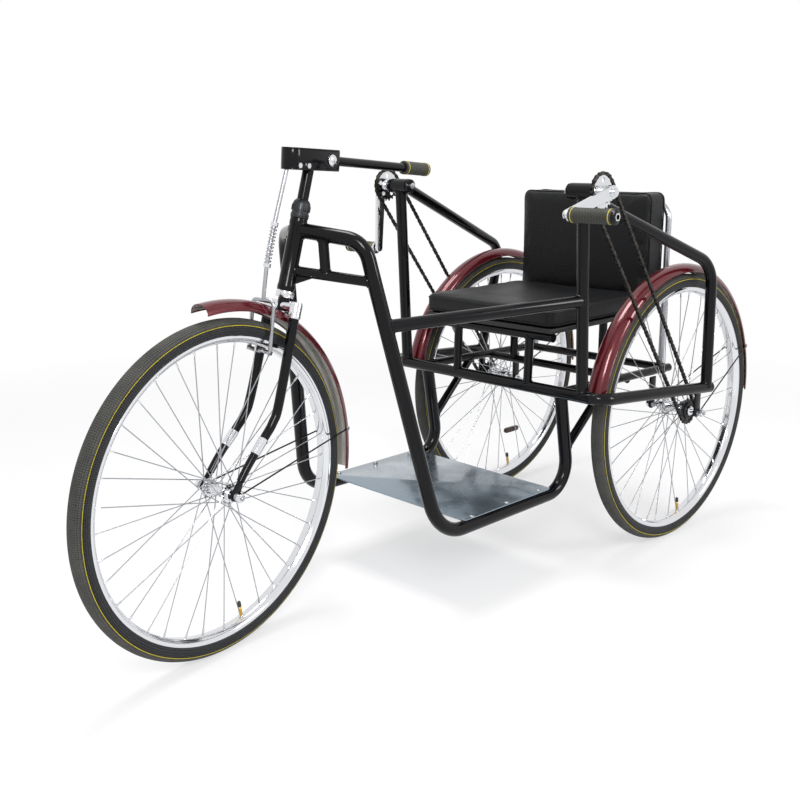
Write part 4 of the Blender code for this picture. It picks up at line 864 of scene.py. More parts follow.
@dataclass
class Wheels:
    """Three laced wheels with chromed rims, block-tread tyres and a pinstripe on each side."""

    rim_edge: float = 0.3209
    spokes: int = 36
    spoke_radius: float = 0.00115
    nipple_radius: float = 0.0021
    nipple_length: float = 0.012
    flange_radius: float = 0.022
    flange_half: float = 0.0015
    front_span: float = 0.056
    rear_span: float = 0.048
    tread_steps: int = 480    # blocks 4.6 mm long, as on a roadster tyre
    tread_depth: float = 0.0012
    tread_from: float = 0.3432    # from the axle
    tread_edges: tuple[float, ...] = (0.0143, 0.0108, 0.0066, 0.0022)    # between columns of blocks
    stripe_from: float = 0.3407
    stripe_to: float = 0.3419
    stripe_aside: float = 0.018
    valve_angle: float = -100.0

    def build(self) -> None:
        """Model one tyre and one rim, and give every wheel its own copies."""
        tyre = self.tyre()
        rim = self.rim()
        front = STEERED @ Matrix.Translation(FRONT_AXLE)
        self.wheel("front", "front_wheel", front, tyre, rim, self.front_span, (-0.036, 0.036))
        for side, sign in SIDES:
            low, high = sorted((-sign * 0.045, sign * 0.054))
            place = Matrix.Translation(at(0.0, sign * HALF_TRACK, WHEEL_RADIUS))
            self.wheel(f"rear_{side}", f"rear_wheel_{side}", place, tyre, rim, self.rear_span, (low, high))
        for pattern in (tyre, rim):
            bpy.data.objects.remove(pattern)

    def wheel(self, name: str, body: str, place: Matrix, tyre: Item, rim: Item, span: float,
              hub_ends: tuple[float, float]) -> None:
        """Set up one wheel.

        Args:
            name: The wheel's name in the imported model.
            body: The body that it turns with.
            place: From the wheel's own place to its place on the machine.
            tyre: The tyre to copy.
            rim: The rim to copy.
            span: Between the hub's flanges.
            hub_ends: Where the hub starts and ends along the axle.
        """
        fitted(twin(tyre, place), f"{name}_tyre_tread", body, Slot.TYRE, f"{name}_tyre")
        metal = joined(name, [twin(rim, Matrix.Identity(4)), self.hub(span, hub_ends), self.lacing(span)])
        fitted(placed(metal, place), f"{name}_laced_wheel", body, Slot.CHROME, f"{name}_wheel")
        fitted(placed(self.valve(), place), f"{name}_valve", body, Slot.CHROME)

    def tyre(self) -> Item:
        """A tyre with a chequered block tread."""
        side = ((0.3150, 0.0100), (0.3196, 0.0126), (0.3214, 0.0150), (0.3262, 0.0181), (0.3310, 0.0197),
                (0.3355, 0.0199), (0.3388, 0.0195), (0.3405, 0.0190), (0.3421, 0.0183), (0.3438, 0.0174),
                (0.3480, 0.0143), (0.3506, 0.0108), (0.3521, 0.0066), (0.3529, 0.0022))
        section = list(side) + [(radius, -offset) for radius, offset in reversed(side)]
        tyre = painted(turn_on_lathe("tyre", section, self.tread_steps, closed=True), TYRE_RUBBER)

        def on_tread(face: Face) -> bool:
            """Whether a face belongs to the tread."""
            return math.hypot(face.center.x, face.center.z) > self.tread_from

        pitch = math.tau / self.tread_steps
        grooves = [edge * sign for edge in self.tread_edges for sign in (1, -1)]
        blocks = []
        for face in tyre.data.polygons:
            step = math.floor(math.atan2(face.center.z, face.center.x) / pitch)
            column = sum(face.center.y > groove for groove in grooves)
            blocks.append(on_tread(face) and (step + column) % 2 == 0)
        tyre.data.polygons.foreach_set("select", blocks)
        pick(tyre)
        bpy.ops.object.mode_set(mode="EDIT")
        bpy.ops.mesh.select_mode(type="FACE")
        bpy.ops.mesh.inset(thickness=0.0004, depth=self.tread_depth, use_individual=True)
        bpy.ops.mesh.select_mode(type="VERT")
        bpy.ops.object.mode_set(mode="OBJECT")
        painted_where(tyre, TREAD_RUBBER, on_tread)
        return painted_where(tyre, PINSTRIPE, lambda face: (
            self.stripe_from < math.hypot(face.center.x, face.center.z) < self.stripe_to
            and abs(face.center.y) > self.stripe_aside))

    def rim(self) -> Item:
        """A rolled steel rim with a bead on each side of its well."""
        edge = self.rim_edge
        side = ((edge - 0.0083, 0.0), (edge - 0.0083, 0.0085), (edge - 0.0060, 0.0130), (edge - 0.0012, 0.0148),
                (edge, 0.0156), (edge + 0.0002, 0.0168), (edge - 0.0008, 0.0176), (edge - 0.0030, 0.0176),
                (edge - 0.0062, 0.0167), (edge - 0.0090, 0.0152), (edge - 0.0112, 0.0130), (edge - 0.0122, 0.0104),
                (edge - 0.0136, 0.0094), (edge - 0.0147, 0.0078), (edge - 0.0153, 0.0040))
        section = list(side) + [(radius, -offset) for radius, offset in reversed(side[1:])]
        return painted(turn_on_lathe("rim", section, 144, closed=True), CHROME)

    def hub(self, span: float, ends: tuple[float, float]) -> Item:
        """Turn a hub shell with its two flanges and dust caps.

        Args:
            span: Between the flanges.
            ends: Where the shell starts and ends along the axle.

        Returns:
            The hub about the wheel's middle.
        """
        low, high = ends
        half = span / 2
        lip = self.flange_half
        return painted(turn_on_lathe("hub", (
            (0.0055, low + 0.0004), (0.0105, low + 0.0004), (0.0125, low + 0.003), (0.0125, -half - lip),
            (self.flange_radius - 0.0006, -half - lip), (self.flange_radius, -half - lip * 0.5),
            (self.flange_radius, -half + lip * 0.5), (self.flange_radius - 0.0006, -half + lip),
            (0.0130, -half + lip), (0.0112, -half + lip + 0.004), (0.0108, 0.0),
            (0.0112, half - lip - 0.004), (0.0130, half - lip), (self.flange_radius - 0.0006, half - lip),
            (self.flange_radius, half - lip * 0.5), (self.flange_radius, half + lip * 0.5),
            (self.flange_radius - 0.0006, half + lip), (0.0125, half + lip), (0.0125, high - 0.003),
            (0.0105, high - 0.0004), (0.0055, high - 0.0004),
        ), 48, closed=True), CHROME)

    def lacing(self, span: float) -> Item:
        """Lace a wheel in threes: four spokes are modelled with their nipples, and copied round.

        Args:
            span: Between the hub's flanges.

        Returns:
            All the spokes.
        """
        parts = []
        hole = self.flange_radius - 0.004
        crown = self.rim_edge - 0.0153
        for index in range(4):
            rim_angle = math.tau * index / self.spokes
            outward = 1 if index % 2 else -1
            leading = 1 if (index // 2) % 2 else -1
            hub_angle = rim_angle + leading * 3 * math.tau * 2 / self.spokes
            flange = outward * span / 2
            face = outward * leading * (self.flange_half + self.spoke_radius)
            radial = Vector((math.cos(hub_angle), 0.0, math.sin(hub_angle)))
            elbow = radial * hole + Vector((0.0, flange + face, 0.0))
            head = radial * hole + Vector((0.0, flange - face, 0.0))
            end = Vector((crown * math.cos(rim_angle), outward * 0.003, crown * math.sin(rim_angle)))
            along = (end - elbow).normalized()
            path = rounded((head, elbow, end), (0.0012,), 3)
            parts.append(painted(bend_tube("spoke", path, self.spoke_radius, 8), ZINC))
            cap = face / abs(face) * 0.0008
            parts.append(painted(bend_tube("head", (head - Vector((0.0, cap, 0.0)), head), 0.0021, 10), ZINC))
            parts.append(painted(bend_tube("nipple", (end - along * self.nipple_length, end + along * 0.002),
                                           self.nipple_radius, 8), CHROME))
        group = joined("four_spokes", parts)
        copies = [group]
        for index in range(1, self.spokes // 4):
            copies.append(twin(group, Matrix.Rotation(-math.tau * index * 4 / self.spokes, 4, "Y")))
        return joined("lacing", copies)

    def valve(self) -> Item:
        """A valve: a threaded brass stem through the rim, its nut and its cap."""
        base = self.rim_edge - 0.0150
        stem = painted(turn_on_lathe("stem", ((0.0, 0.0), (0.0034, 0.0), (0.0034, 0.022), (0.0026, 0.023),
                                              (0.0026, 0.030), (0.0, 0.030)), 16), BRASS)
        nut = painted(cut_plate("nut", polygon(0.0062, 6), 0.0005, 0.0035, lambda a, b, c: Vector((a, c, b)),
                                0.0004), CHROME)
        cap = painted(turn_on_lathe("cap", ((0.0, 0.026), (0.0040, 0.026), (0.0040, 0.035), (0.0030, 0.038),
                                            (0.0, 0.039)), 16), GRIP_RUBBER)
        valve = joined("valve", [stem, nut, cap])
        turn = math.radians(self.valve_angle)
        inward = -Vector((math.cos(turn), 0.0, math.sin(turn)))
        return placed(valve, Matrix.Translation(-inward * base) @ turned_to(inward))


@dataclass
class Fenders:
    """Rolled fenders with beaded edges, and wire stays from the axles."""

    half_width: float = 0.0250
    depth: float = 0.020
    sheet: float = 0.0014
    bead: float = 0.0018
    stay_radius: float = 0.0018
    front_stay_angle: float = 172.0
    rear_stay_angle: float = 161.0

    def build(self) -> None:
        """Make the front fender and both rear ones."""
        front = self.fender("front", FRONT_AXLE + Vector((0.0, 0.0, 0.003)), 0.3885, (84.0, 187.0), FRONT_AXLE,
                            (0.0523, -0.0523), self.front_stay_angle)
        fitted(placed(front, STEERED), "front_rolled_fender", "steering", Slot.FENDER, "front_fender")
        for side, sign in SIDES:
            axle = at(0.0, 0.0, WHEEL_RADIUS)
            rear = self.fender(f"rear_{side}", axle + Vector((0.010, 0.0, 0.008)), 0.374, (11.5, 182.0), axle,
                               (0.3778, 0.2428), self.rear_stay_angle, sign, HALF_TRACK)
            fitted(rear, f"rear_rolled_fender_{side}", "frame", Slot.FENDER, f"rear_fender_{side}")

    def fender(self, name: str, centre: Vector, radius: float, arc: tuple[float, float], axle: Vector,
               eyes: tuple[float, float], stay_angle: float, sign: int = 1, middle: float = 0.0) -> Item:
        """Roll one fender and add its stays.

        Args:
            name: What to call it.
            centre: The centre that it is rolled about, in the machine's middle plane.
            radius: Out to its crown.
            arc: The angles from ahead at which it starts and ends.
            axle: The axle's place in the middle plane.
            eyes: How far the stays' eyes are from the middle plane, outer one first.
            stay_angle: Where the stays reach the fender.
            sign: The side of the machine, +1 for the left.
            middle: The wheel's distance from the middle plane.

        Returns:
            The fender with its stays.
        """
        start, end = (math.radians(angle) for angle in arc)
        section = []
        for gauge, order in ((0.0, 1), (self.sheet, -1)):
            for step in range(-6, 7):
                turn = math.pi / 12 * step * order
                section.append((radius - gauge - self.depth * (1 - math.cos(turn)),
                                (self.half_width - gauge) * math.sin(turn)))
        steps = max(24, round(math.degrees(end - start) / 2))
        shell = painted(turn_on_lathe(name, section, steps, end - start, start, closed=True), MAROON_ENAMEL)
        inner = radius - self.sheet

        def inside(face: Face) -> bool:
            """Whether a face looks at the tyre."""
            out = Vector((face.center.x, 0.0, face.center.z)).normalized()
            lift = math.hypot(face.center.x, face.center.z) - (inner - self.depth)
            return face.normal.dot(out * max(lift, 0.001) + Vector((0.0, face.center.y, 0.0)) * 0.8) < 0

        painted_where(shell, GALVANISED, inside)
        parts = [shell]
        for edge in (1, -1):
            rail = [Vector(((radius - self.depth) * math.cos(turn), edge * (self.half_width - self.bead * 0.7),
                            (radius - self.depth) * math.sin(turn)))
                    for turn in (start + (end - start) * step / steps for step in range(steps + 1))]
            parts.append(painted(bend_tube("bead", rail, self.bead, 10), MAROON_ENAMEL))
        for part in parts:
            placed(part, Matrix.Translation(centre + Vector((0.0, sign * middle, 0.0))))
        turn = math.radians(stay_angle)
        reach = radius - self.depth + 0.004
        for eye, edge in zip(eyes, (sign, -sign)):
            hub = Vector((axle.x, sign * eye, axle.z))
            foot = centre + Vector((reach * math.cos(turn), sign * middle + edge * (self.half_width + 0.0006),
                                    reach * math.sin(turn)))
            along = (foot - hub).normalized()
            parts.append(painted(bend_tube("stay", (hub + along * 0.0070, foot + along * 0.004),
                                           self.stay_radius, 10), BLACK_ENAMEL))
            eye_ring = painted(turn_on_lathe("eye", ((0.0049, -0.0036), (0.0085, -0.0036), (0.0085, 0.0036),
                                                     (0.0049, 0.0036)), 24, closed=True), ZINC)
            parts.append(placed(eye_ring, Matrix.Translation(hub)))
            clip = painted(cut_plate("clip", polygon(0.0052, 16), -0.0016, 0.0016, upright, 0.0004), ZINC)
            parts.append(placed(clip, Matrix.Translation(foot)))
        return joined(name, parts)


@dataclass
class TubeFrame:
    """The welded frame: bent main tubes, rails, posts, wheel guards and the rails under the seat."""

    main_radius: float = 0.0159
    rail_radius: float = 0.0143
    brace_radius: float = 0.011
    head_radius: float = 0.0175
    rail_x: float = 0.405        # the cross rail in front of the seat
    rail_z: float = 0.454
    rail_end: tuple[float, float, float] = (-0.034, 0.385, 0.420)
    rail_corner_y: float = 0.350
    post_y: float = 0.294
    crank_x: float = 0.424
    crank_z: float = 0.932
    low_run_z: float = 0.200     # the main tubes beside the footboard
    bow_x: float = -0.0683
    inner_rail_y: float = 0.232
    inner_rail_z: float = 0.442
    seat_cross_x: float = 0.115
    seat_bar_x: float = 0.400
    seat_bar_z: float = 0.583
    seat_board_z: float = 0.594

    def build(self) -> None:
        """Bend and weld every tube."""
        self.main_tubes()
        self.outer_rail()
        self.posts_and_guards()
        self.head()
        self.under_seat()
        self.seat_bar()
        self.braces()
        self.bow()

    def main_path(self, sign: int = 1) -> list[Vector]:
        """Draw a main tube: from the head down, along the footboard and up to the cross rail.

        Args:
            sign: The side, +1 for the left.

        Returns:
            The points of its centre line.
        """
        top = on_axis(0.555)
        corners = (top, top + Vector((-0.0688, 0.1301, -0.0213)), at(0.8254, 0.2307, self.low_run_z),
                   at(0.350, 0.225, self.low_run_z), at(0.393, 0.225, self.rail_z))
        return other_side(rounded(corners, (0.055, 0.092, 0.070)), sign)

    def rail_side(self, sign: int) -> tuple[Vector, Vector]:
        """The rear end and the front corner of the rail outside a wheel."""
        x, y, z = self.rail_end
        return at(x, sign * y, z), at(self.rail_x, sign * self.rail_corner_y, self.rail_z)

    def front_rail(self) -> tuple[Vector, Vector]:
        """Two places on the cross rail's centre line."""
        return at(self.rail_x, 0.1, self.rail_z), at(self.rail_x, 0.3, self.rail_z)

    def inner_rail(self, sign: int) -> tuple[Vector, Vector]:
        """The ends of a rail under the seat."""
        return (at(self.bow_x - 0.014, sign * self.inner_rail_y, self.inner_rail_z),
                at(self.rail_x, sign * self.inner_rail_y, self.rail_z))

    def post(self, sign: int) -> tuple[Vector, Vector]:
        """The foot and the top of a crank post."""
        return at(0.401, sign * self.post_y, self.rail_z), at(self.crank_x, sign * self.post_y, self.crank_z)

    def welded(self, name: str, parts: Sequence[Item], *replaced: str) -> None:
        """Join tubes and beads to one enamelled piece."""
        piece = joined(name, [painted(part, BLACK_ENAMEL) for part in parts])
        fitted(piece, name, "frame", Slot.ENAMEL, *replaced)

    def bead(self, start: Vector, end: Vector, radius: float, host: tuple[Vector, Vector],
             host_radius: float) -> Item:
        """Weld a tube's end to a host, which may be as thin as the tube.

        Args:
            start: A place inside the tube, away from the joint.
            end: Its centre line's end on the host's centre line.
            radius: The tube's radius.
            host: Two places on the host's centre line.
            host_radius: The host's radius.

        Returns:
            The bead.
        """
        return weld_bead(start, end, min(radius, host_radius * 0.97), host, host_radius)

    def strut(self, start: Vector, end: Vector, start_host: Host | None, end_host: Host | None = None,
              radius: float = 0.0) -> list[Item]:
        """A straight tube with a bead at each end that is welded to a host.

        Args:
            start: The tube's first end.
            end: Its second end.
            start_host: Two places on the tube at the first end, and its radius.
            end_host: The same for the second end.
            radius: The tube's radius; a brace's if zero.

        Returns:
            The tube and its beads.
        """
        size = radius or self.brace_radius
        parts = [bend_tube("strut", (start, end), size, 24 if size > self.brace_radius else 20)]
        for host, far, near in ((start_host, end, start), (end_host, start, end)):
            if host:
                parts.append(self.bead(far, near, size, host[:2], host[2]))
        return parts

    def main_tubes(self) -> None:
        """Both main tubes, welded to the head and to the cross rail."""
        for side, sign in SIDES:
            path = self.main_path(sign)
            self.welded(f"bent_main_tube_{side}", [
                bend_tube("tube", path, self.main_radius, 24),
                self.bead(path[2], path[0], self.main_radius, (on_axis(0.4), on_axis(0.5)), self.head_radius),
                weld_bead(path[-2], path[-1], self.main_radius * 0.98, self.front_rail(), self.rail_radius),
            ], f"main_tube_{side}")

    def outer_rail(self) -> None:
        """The cross rail with its plugged ends and the lugs for the fenders."""
        left, right = list(self.rail_side(1)), list(self.rail_side(-1))
        path = rounded(left + right[::-1], (0.042, 0.042))
        parts = [bend_tube("tube", path, self.rail_radius, 24)]
        for sign, end, inward in ((1, path[0], path[1]), (-1, path[-1], path[-2])):
            rail = at(self.rail_x, sign * HALF_TRACK, self.rail_z)
            centre = at(0.010, sign * HALF_TRACK, WHEEL_RADIUS + 0.008)
            parts.append(bend_tube("lug", (rail, centre + (rail - centre).normalized() * 0.3745), 0.005, 12))
            plug = turn_on_lathe("plug", ((0.0, -0.0028), (0.0105, -0.0022), (0.0140, 0.0), (0.0140, 0.002),
                                          (0.0, 0.002)), 24)
            parts.append(placed(plug, Matrix.Translation(end) @ turned_to(inward - end)))
        self.welded("bent_outer_rail", parts, "outer_rail")

    def posts_and_guards(self) -> None:
        """The crank posts and the guards that reach back round the wheels."""
        for side, sign in SIDES:
            foot, top = self.post(sign)
            crank_axis = (at(self.crank_x, 0.2, self.crank_z), at(self.crank_x, 0.4, self.crank_z))
            self.welded(f"welded_crank_post_{side}", self.strut(
                foot, top, (*self.front_rail(), self.rail_radius), (*crank_axis, 0.0185), self.rail_radius),
                f"crank_post_{side}")
            guard = rounded(other_side((at(self.crank_x, 0.276, 0.930), at(-0.058, 0.356, 0.734),
                                        at(-0.015, 0.385, 0.421)), sign), (0.068,), 14)
            self.welded(f"bent_wheel_guard_{side}", [
                bend_tube("guard", guard, self.rail_radius, 24),
                self.bead(guard[-3], guard[-1], self.rail_radius, self.rail_side(sign), self.rail_radius),
                weld_bead(guard[1], guard[0], self.rail_radius, (foot, top), self.rail_radius),
            ], f"wheel_guard_{side}")

    def head(self) -> None:
        """The head tube, its lower braces, the short struts and their gussets."""
        foot = on_axis(0.470)
        parts = [placed(turn_on_lathe("head", (
            (0.0125, 0.427), (0.0180, 0.427), (0.0185, 0.432), (0.0185, 0.438), (0.0175, 0.441),
            (0.0175, 0.563), (0.0185, 0.566), (0.0185, 0.572), (0.0180, 0.577), (0.0125, 0.577),
        ), 40, closed=True), UP_THE_AXIS)]
        for sign in (1, -1):
            main = self.main_path(sign)
            meet = at_height(main, 0.7611)
            middle = foot.lerp(meet, 0.432)
            under = at_height(main[::-1], 0.74)
            upper = main[0].lerp(main[1], 0.52)
            parts += self.strut(foot, meet, (on_axis(0.4), on_axis(0.5), self.head_radius),
                                (meet, under, self.main_radius))
            parts += self.strut(middle, upper, (foot, meet, self.brace_radius),
                                (main[0], main[1], self.main_radius))
            parts.append(self.gusset(foot, meet))
        self.welded("welded_head", parts, "head_tube")

    def gusset(self, foot: Vector, meet: Vector) -> Item:
        """A three-cornered plate between the head and a brace's underside.

        Args:
            foot: Where the brace meets the head.
            meet: Where it meets the main tube.

        Returns:
            The plate.
        """
        along = (meet - foot) * 0.40
        down = on_axis(0.434) - foot
        across = along.normalized().cross(AXIS_UP).normalized()
        return cut_plate("gusset", ((0, 0), (1, 0), (0, 1)), -0.0022, 0.0022,
                         lambda a, b, c: foot + down * a + along * b + across * c, 0.0008)

    def under_seat(self) -> None:
        """The rails and cross tubes under the seat."""
        crosses = [[at(x, sign * self.inner_rail_y, self.inner_rail_z) for sign in (-1, 1)]
                   for x in (self.seat_cross_x, self.bow_x)]
        parts = [bend_tube("cross", cross, self.brace_radius, 20) for cross in crosses]
        for index, sign in enumerate((1, -1)):
            rail = self.inner_rail(sign)
            parts += self.strut(*rail, None, (*self.front_rail(), self.rail_radius))
            for cross in crosses:
                middle = (cross[0] + cross[1]) / 2
                parts.append(self.bead(middle, cross[1 - index], self.brace_radius, rail, self.brace_radius))
            low, high = (at(self.seat_cross_x, sign * 0.150, z) for z in (self.inner_rail_z, self.seat_board_z))
            parts += self.strut(low, high, (*crosses[0], self.brace_radius))
        self.welded("welded_under_seat_frame", parts, "under_seat_frame")

    def seat_bar(self) -> None:
        """The bar that carries the seat's front, on two struts."""
        bar = [at(self.seat_bar_x, sign * 0.205, self.seat_bar_z) for sign in (-1, 1)]
        parts = [bend_tube("bar", bar, self.brace_radius, 20)]
        for y in (-0.103, 0.132):
            low, high = at(self.rail_x, y, self.rail_z), at(self.seat_bar_x, y, self.seat_bar_z)
            parts += self.strut(low, high, (*self.front_rail(), self.rail_radius), (*bar, self.brace_radius))
        self.welded("welded_seat_bar", parts, "seat_bar")

    def braces(self) -> None:
        """The diagonal braces, and the rail along the left side."""
        for side, sign in SIDES:
            path = self.main_path(sign)
            foot = at_height(path[::-1], 0.302)
            low, high = self.inner_rail(sign)
            top = low.lerp(high, (at(0.206, 0, 0).x - low.x) / (high.x - low.x))
            self.welded(f"welded_diagonal_brace_{side}",
                        self.strut(foot, top, (path[-1], path[-2], self.main_radius),
                                   (low, high, self.brace_radius)), f"diagonal_brace_{side}")
        main = self.main_path()
        front = at_height(main, 0.6684)
        foot, top = self.post(1)
        rear = foot.lerp(top, (0.683 - foot.z) / (top.z - foot.z))
        under = at_height(main, 0.60)
        self.welded("welded_side_rail", self.strut(
            front, rear, (front, under, self.main_radius), (foot, top, self.rail_radius), self.rail_radius),
            "side_rail")

    def bow(self) -> None:
        """The plated bow that carries the backrest, with its feet on the rails."""
        foot, shoulder = 0.4533, 0.8846
        corners = [at(self.bow_x, sign * 0.216, z) for sign, z in
                   ((-1, foot), (-1, shoulder), (1, shoulder), (1, foot))]
        tube = painted(bend_tube("bow", rounded(corners, (0.045, 0.045)), 0.008, 20), ZINC)
        fitted(tube, "plated_backrest_bow", "frame", Slot.STEEL, "backrest_frame")


@dataclass
class Steering:
    """The fork, its brake and the tiller, built with the wheel straight and then turned with it."""

    crown: float = 0.3955
    blade_bow: tuple[tuple[float, float], ...] = (
        (1.0, 0.0), (0.506, 0.0), (0.392, 0.10), (0.314, 0.30), (0.233, 0.525), (0.152, 0.738), (0.076, 0.906))
    bracket_middle: float = 0.7017
    bracket_tilt: float = math.radians(3.0)
    tiller_tilt: float = math.radians(4.4)
    tiller_length: float = 0.361
    grip_length: float = 0.088
    rod: float = 0.0042
    knurls: int = 24
    blade: float = 0.0105         # radius at the crown
    blade_taper: float = 0.0025   # how much of it is gone at the tip
    clip_from: float = 0.082      # the blades' plated clips, up the axis
    clip_to: float = 0.122
    stirrup_top: tuple[float, float] = (0.397, 0.058)     # up the axis, ahead of it
    stirrup_foot: tuple[float, float] = (0.2955, 0.042)
    stirrup_half: float = 0.0298
    spring_turns: int = 11
    spring_steps: int = 12        # points in a turn

    def build(self) -> None:
        """Make everything that turns with the fork, apart from the wheel and its fender."""
        self.fork()
        self.axle()
        self.brake()
        self.bracket()
        self.tiller()

    def steered(self, name: str, parts: Sequence[Item], slot: Slot, *replaced: str) -> None:
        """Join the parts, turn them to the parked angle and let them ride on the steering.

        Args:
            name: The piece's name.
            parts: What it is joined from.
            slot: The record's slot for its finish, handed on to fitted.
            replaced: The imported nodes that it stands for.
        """
        fitted(placed(joined(name, parts), STEERED), name, "steering", slot, *replaced)

    def on_column(self, profile: Iterable[Sequence[float]], finish: Finish, steps: int = 36) -> Item:
        """Turn a closed outline about the steering axis.

        Args:
            profile: (radius, distance up the axis) points.
            finish: What covers it.
            steps: Facets round the axis.

        Returns:
            The turned part.
        """
        return painted(placed(turn_on_lathe("turned", profile, steps, closed=True), UP_THE_AXIS), finish)

    def fork(self) -> None:
        """The column and its bearings, the plated crown, and the raked blades."""
        parts = [
            self.on_column(((0.0, 0.384), (0.0118, 0.384), (0.0118, 0.691), (0.0, 0.691)), BLACK_ENAMEL),
            self.on_column(((0.0118, 0.412), (0.0170, 0.412), (0.0190, 0.415), (0.0190, 0.4225), (0.0180, 0.4258),
                            (0.0118, 0.4258)), CHROME),
            self.on_column(((0.0118, 0.5782), (0.0182, 0.5782), (0.0190, 0.5806), (0.0190, 0.5880),
                            (0.0176, 0.5900), (0.0176, 0.5920), (0.0190, 0.5936), (0.0190, 0.6056),
                            (0.0172, 0.6120), (0.0135, 0.6170), (0.0118, 0.6176)), DARK_STEEL),
            painted(bend_tube("bridge", (on_axis(self.crown, aside=-0.040), on_axis(self.crown, aside=0.040)),
                              0.0113, 24), CHROME)]
        for index in range(self.knurls):
            turn = Matrix.Rotation(math.tau * index / self.knurls, 3, AXIS_UP)
            out = turn @ Vector((0.0, 0.0190, 0.0))
            parts.append(painted(bend_tube("knurl", (on_axis(0.5942) + out, on_axis(0.6050) + out), 0.0009, 6),
                                 DARK_STEEL))
        for sign in (1, -1):
            parts.append(painted(self.socket(sign), CHROME))
            knots = [on_axis(self.crown * up, FORK_OFFSET * ahead, sign * (0.045 - 0.007 * up))
                     for up, ahead in self.blade_bow]
            path = flowing(knots, 6)
            last = len(path) - 1
            radii = [self.blade - self.blade_taper * step / last for step in range(last + 1)]
            parts.append(painted(bend_tube("blade", path, self.blade, 20, radii), BLACK_ENAMEL))
            clip = [index for index, point in enumerate(path)
                    if self.clip_from < (point - AXIS_FOOT).dot(AXIS_UP) < self.clip_to]
            parts.append(painted(bend_tube("clip", path[clip[0]:clip[-1] + 1], radii[clip[0]] + 0.0012, 20), CHROME))
            outline = capsule((path[-1].x, path[-1].z), (FRONT_AXLE.x, FRONT_AXLE.z), 0.006, 0.011)
            low, high = sorted((sign * 0.042, sign * 0.048))
            parts.append(painted(cut_plate("tip", outline, low, high, upright, 0.0006), BLACK_ENAMEL))
        self.steered("raked_fork", parts, Slot.ENAMEL, "fork")

    def socket(self, sign: int) -> Item:
        """Turn a crown socket with its rolled lip, about one blade.

        Args:
            sign: The blade's side, +1 for the left.

        Returns:
            The socket.
        """
        profile = ((0.0, 0.3728), (0.0132, 0.3728), (0.0136, 0.3752), (0.0128, 0.3774), (0.0128, 0.4020),
                   (0.0112, 0.4062), (0.0, 0.4070))
        socket = placed(turn_on_lathe("socket", profile, 28), UP_THE_AXIS)
        return placed(socket, Matrix.Translation((0.0, sign * 0.038, 0.0)))

    def axle(self) -> None:
        """The front spindle with its nuts."""
        place = Matrix.Translation(FRONT_AXLE)
        parts = [spindle(-0.0694, 0.0694), *(axle_nut(sign * 0.0560, sign * 0.0648) for sign in (1, -1))]
        self.steered("front_spindle", [placed(part, place) for part in parts], Slot.STEEL, "front_axle")

    def brake(self) -> None:
        """The rod from the bracket, its guide and spring, the stirrup and its shoes."""
        rod = [on_axis(0.672, 0.0620), on_axis(0.510, 0.0690), on_axis(0.430, 0.0630), on_axis(*self.stirrup_top)]
        legs = []
        for sign in (1, -1):
            aside = sign * self.stirrup_half
            leg = [on_axis(*self.stirrup_foot, sign * 0.0135), on_axis(*self.stirrup_foot, aside),
                   on_axis(*self.stirrup_top, aside)]
            legs += leg if sign > 0 else leg[::-1]
        parts = [painted(bend_tube("stirrup", rounded(legs, (0.005, 0.010, 0.010, 0.005), 8), self.rod, 16), ZINC),
                 painted(bend_tube("rod", flowing(rod, 5), self.rod, 16), ZINC)]
        low, high = on_axis(0.470, 0.0664), on_axis(0.548, 0.0674)
        along = high - low
        coil = []
        count = self.spring_steps * self.spring_turns
        for step in range(count + 1):
            turn = math.tau * step / self.spring_steps
            out = Vector((0.0, math.cos(turn), 0.0)) + AXIS_AHEAD * math.sin(turn)
            coil.append(low + along * (step / count) + out * 0.0066)
        parts.append(painted(bend_tube("spring", coil, 0.0011, 8), ZINC))
        for place in (on_axis(0.551, 0.0673), on_axis(0.467, 0.0665)):
            parts.append(painted(bend_tube("collar", (place - AXIS_UP * 0.004, place + AXIS_UP * 0.004), 0.0078, 20),
                                 CHROME))
        foot = on_axis(*self.stirrup_foot)
        outward = (foot - FRONT_AXLE).normalized()
        along = Vector((outward.z, 0.0, -outward.x))

        def on_rim(a: float, b: float, c: float) -> Vector:
            """Place a shoe's outline under the rim."""
            return foot + along * a + Vector((0.0, b, 0.0)) + outward * c

        for sign in (1, -1):
            inner, outer = sorted((sign * 0.0118, sign * 0.0218))
            corners = ((-0.0168, inner), (0.0168, inner), (0.0168, outer), (-0.0168, outer))
            parts.append(painted(cut_plate("holder", corners, -0.0043, 0.0002, on_rim, 0.0010), ZINC))
            parts.append(painted(cut_plate("shoe", corners, 0.0002, 0.0043, on_rim, 0.0010), SHOE_RUBBER))
        self.steered("stirrup_brake", parts, Slot.STEEL, "brake_stirrup")

    def leaning(self, tilt: float) -> Place:
        """Say how a part that is made level about the bracket's middle leans down to the rear.

        Args:
            tilt: The angle in radians.

        Returns:
            The function that places a part's point.
        """
        middle = on_axis(self.bracket_middle)
        ahead = Vector((math.cos(tilt), 0.0, math.sin(tilt)))
        above = Vector((-math.sin(tilt), 0.0, math.cos(tilt)))
        return lambda a, b, c: middle + ahead * a + Vector((0.0, b, 0.0)) + above * c

    def bracket(self) -> None:
        """The boxed bracket on the column: two cheeks with a top, a floor and a rounded nose."""
        place = self.leaning(self.bracket_tilt)

        def nose(rear: float, front: float, half: float) -> list[tuple[float, float]]:
            """The outline from above: square behind, round in front."""
            arc = [(front - half + half * math.cos(turn), half * math.sin(turn))
                   for turn in (math.pi * (step / 16 - 0.5) for step in range(17))]
            return arc + [(rear, half), (rear, -half)]

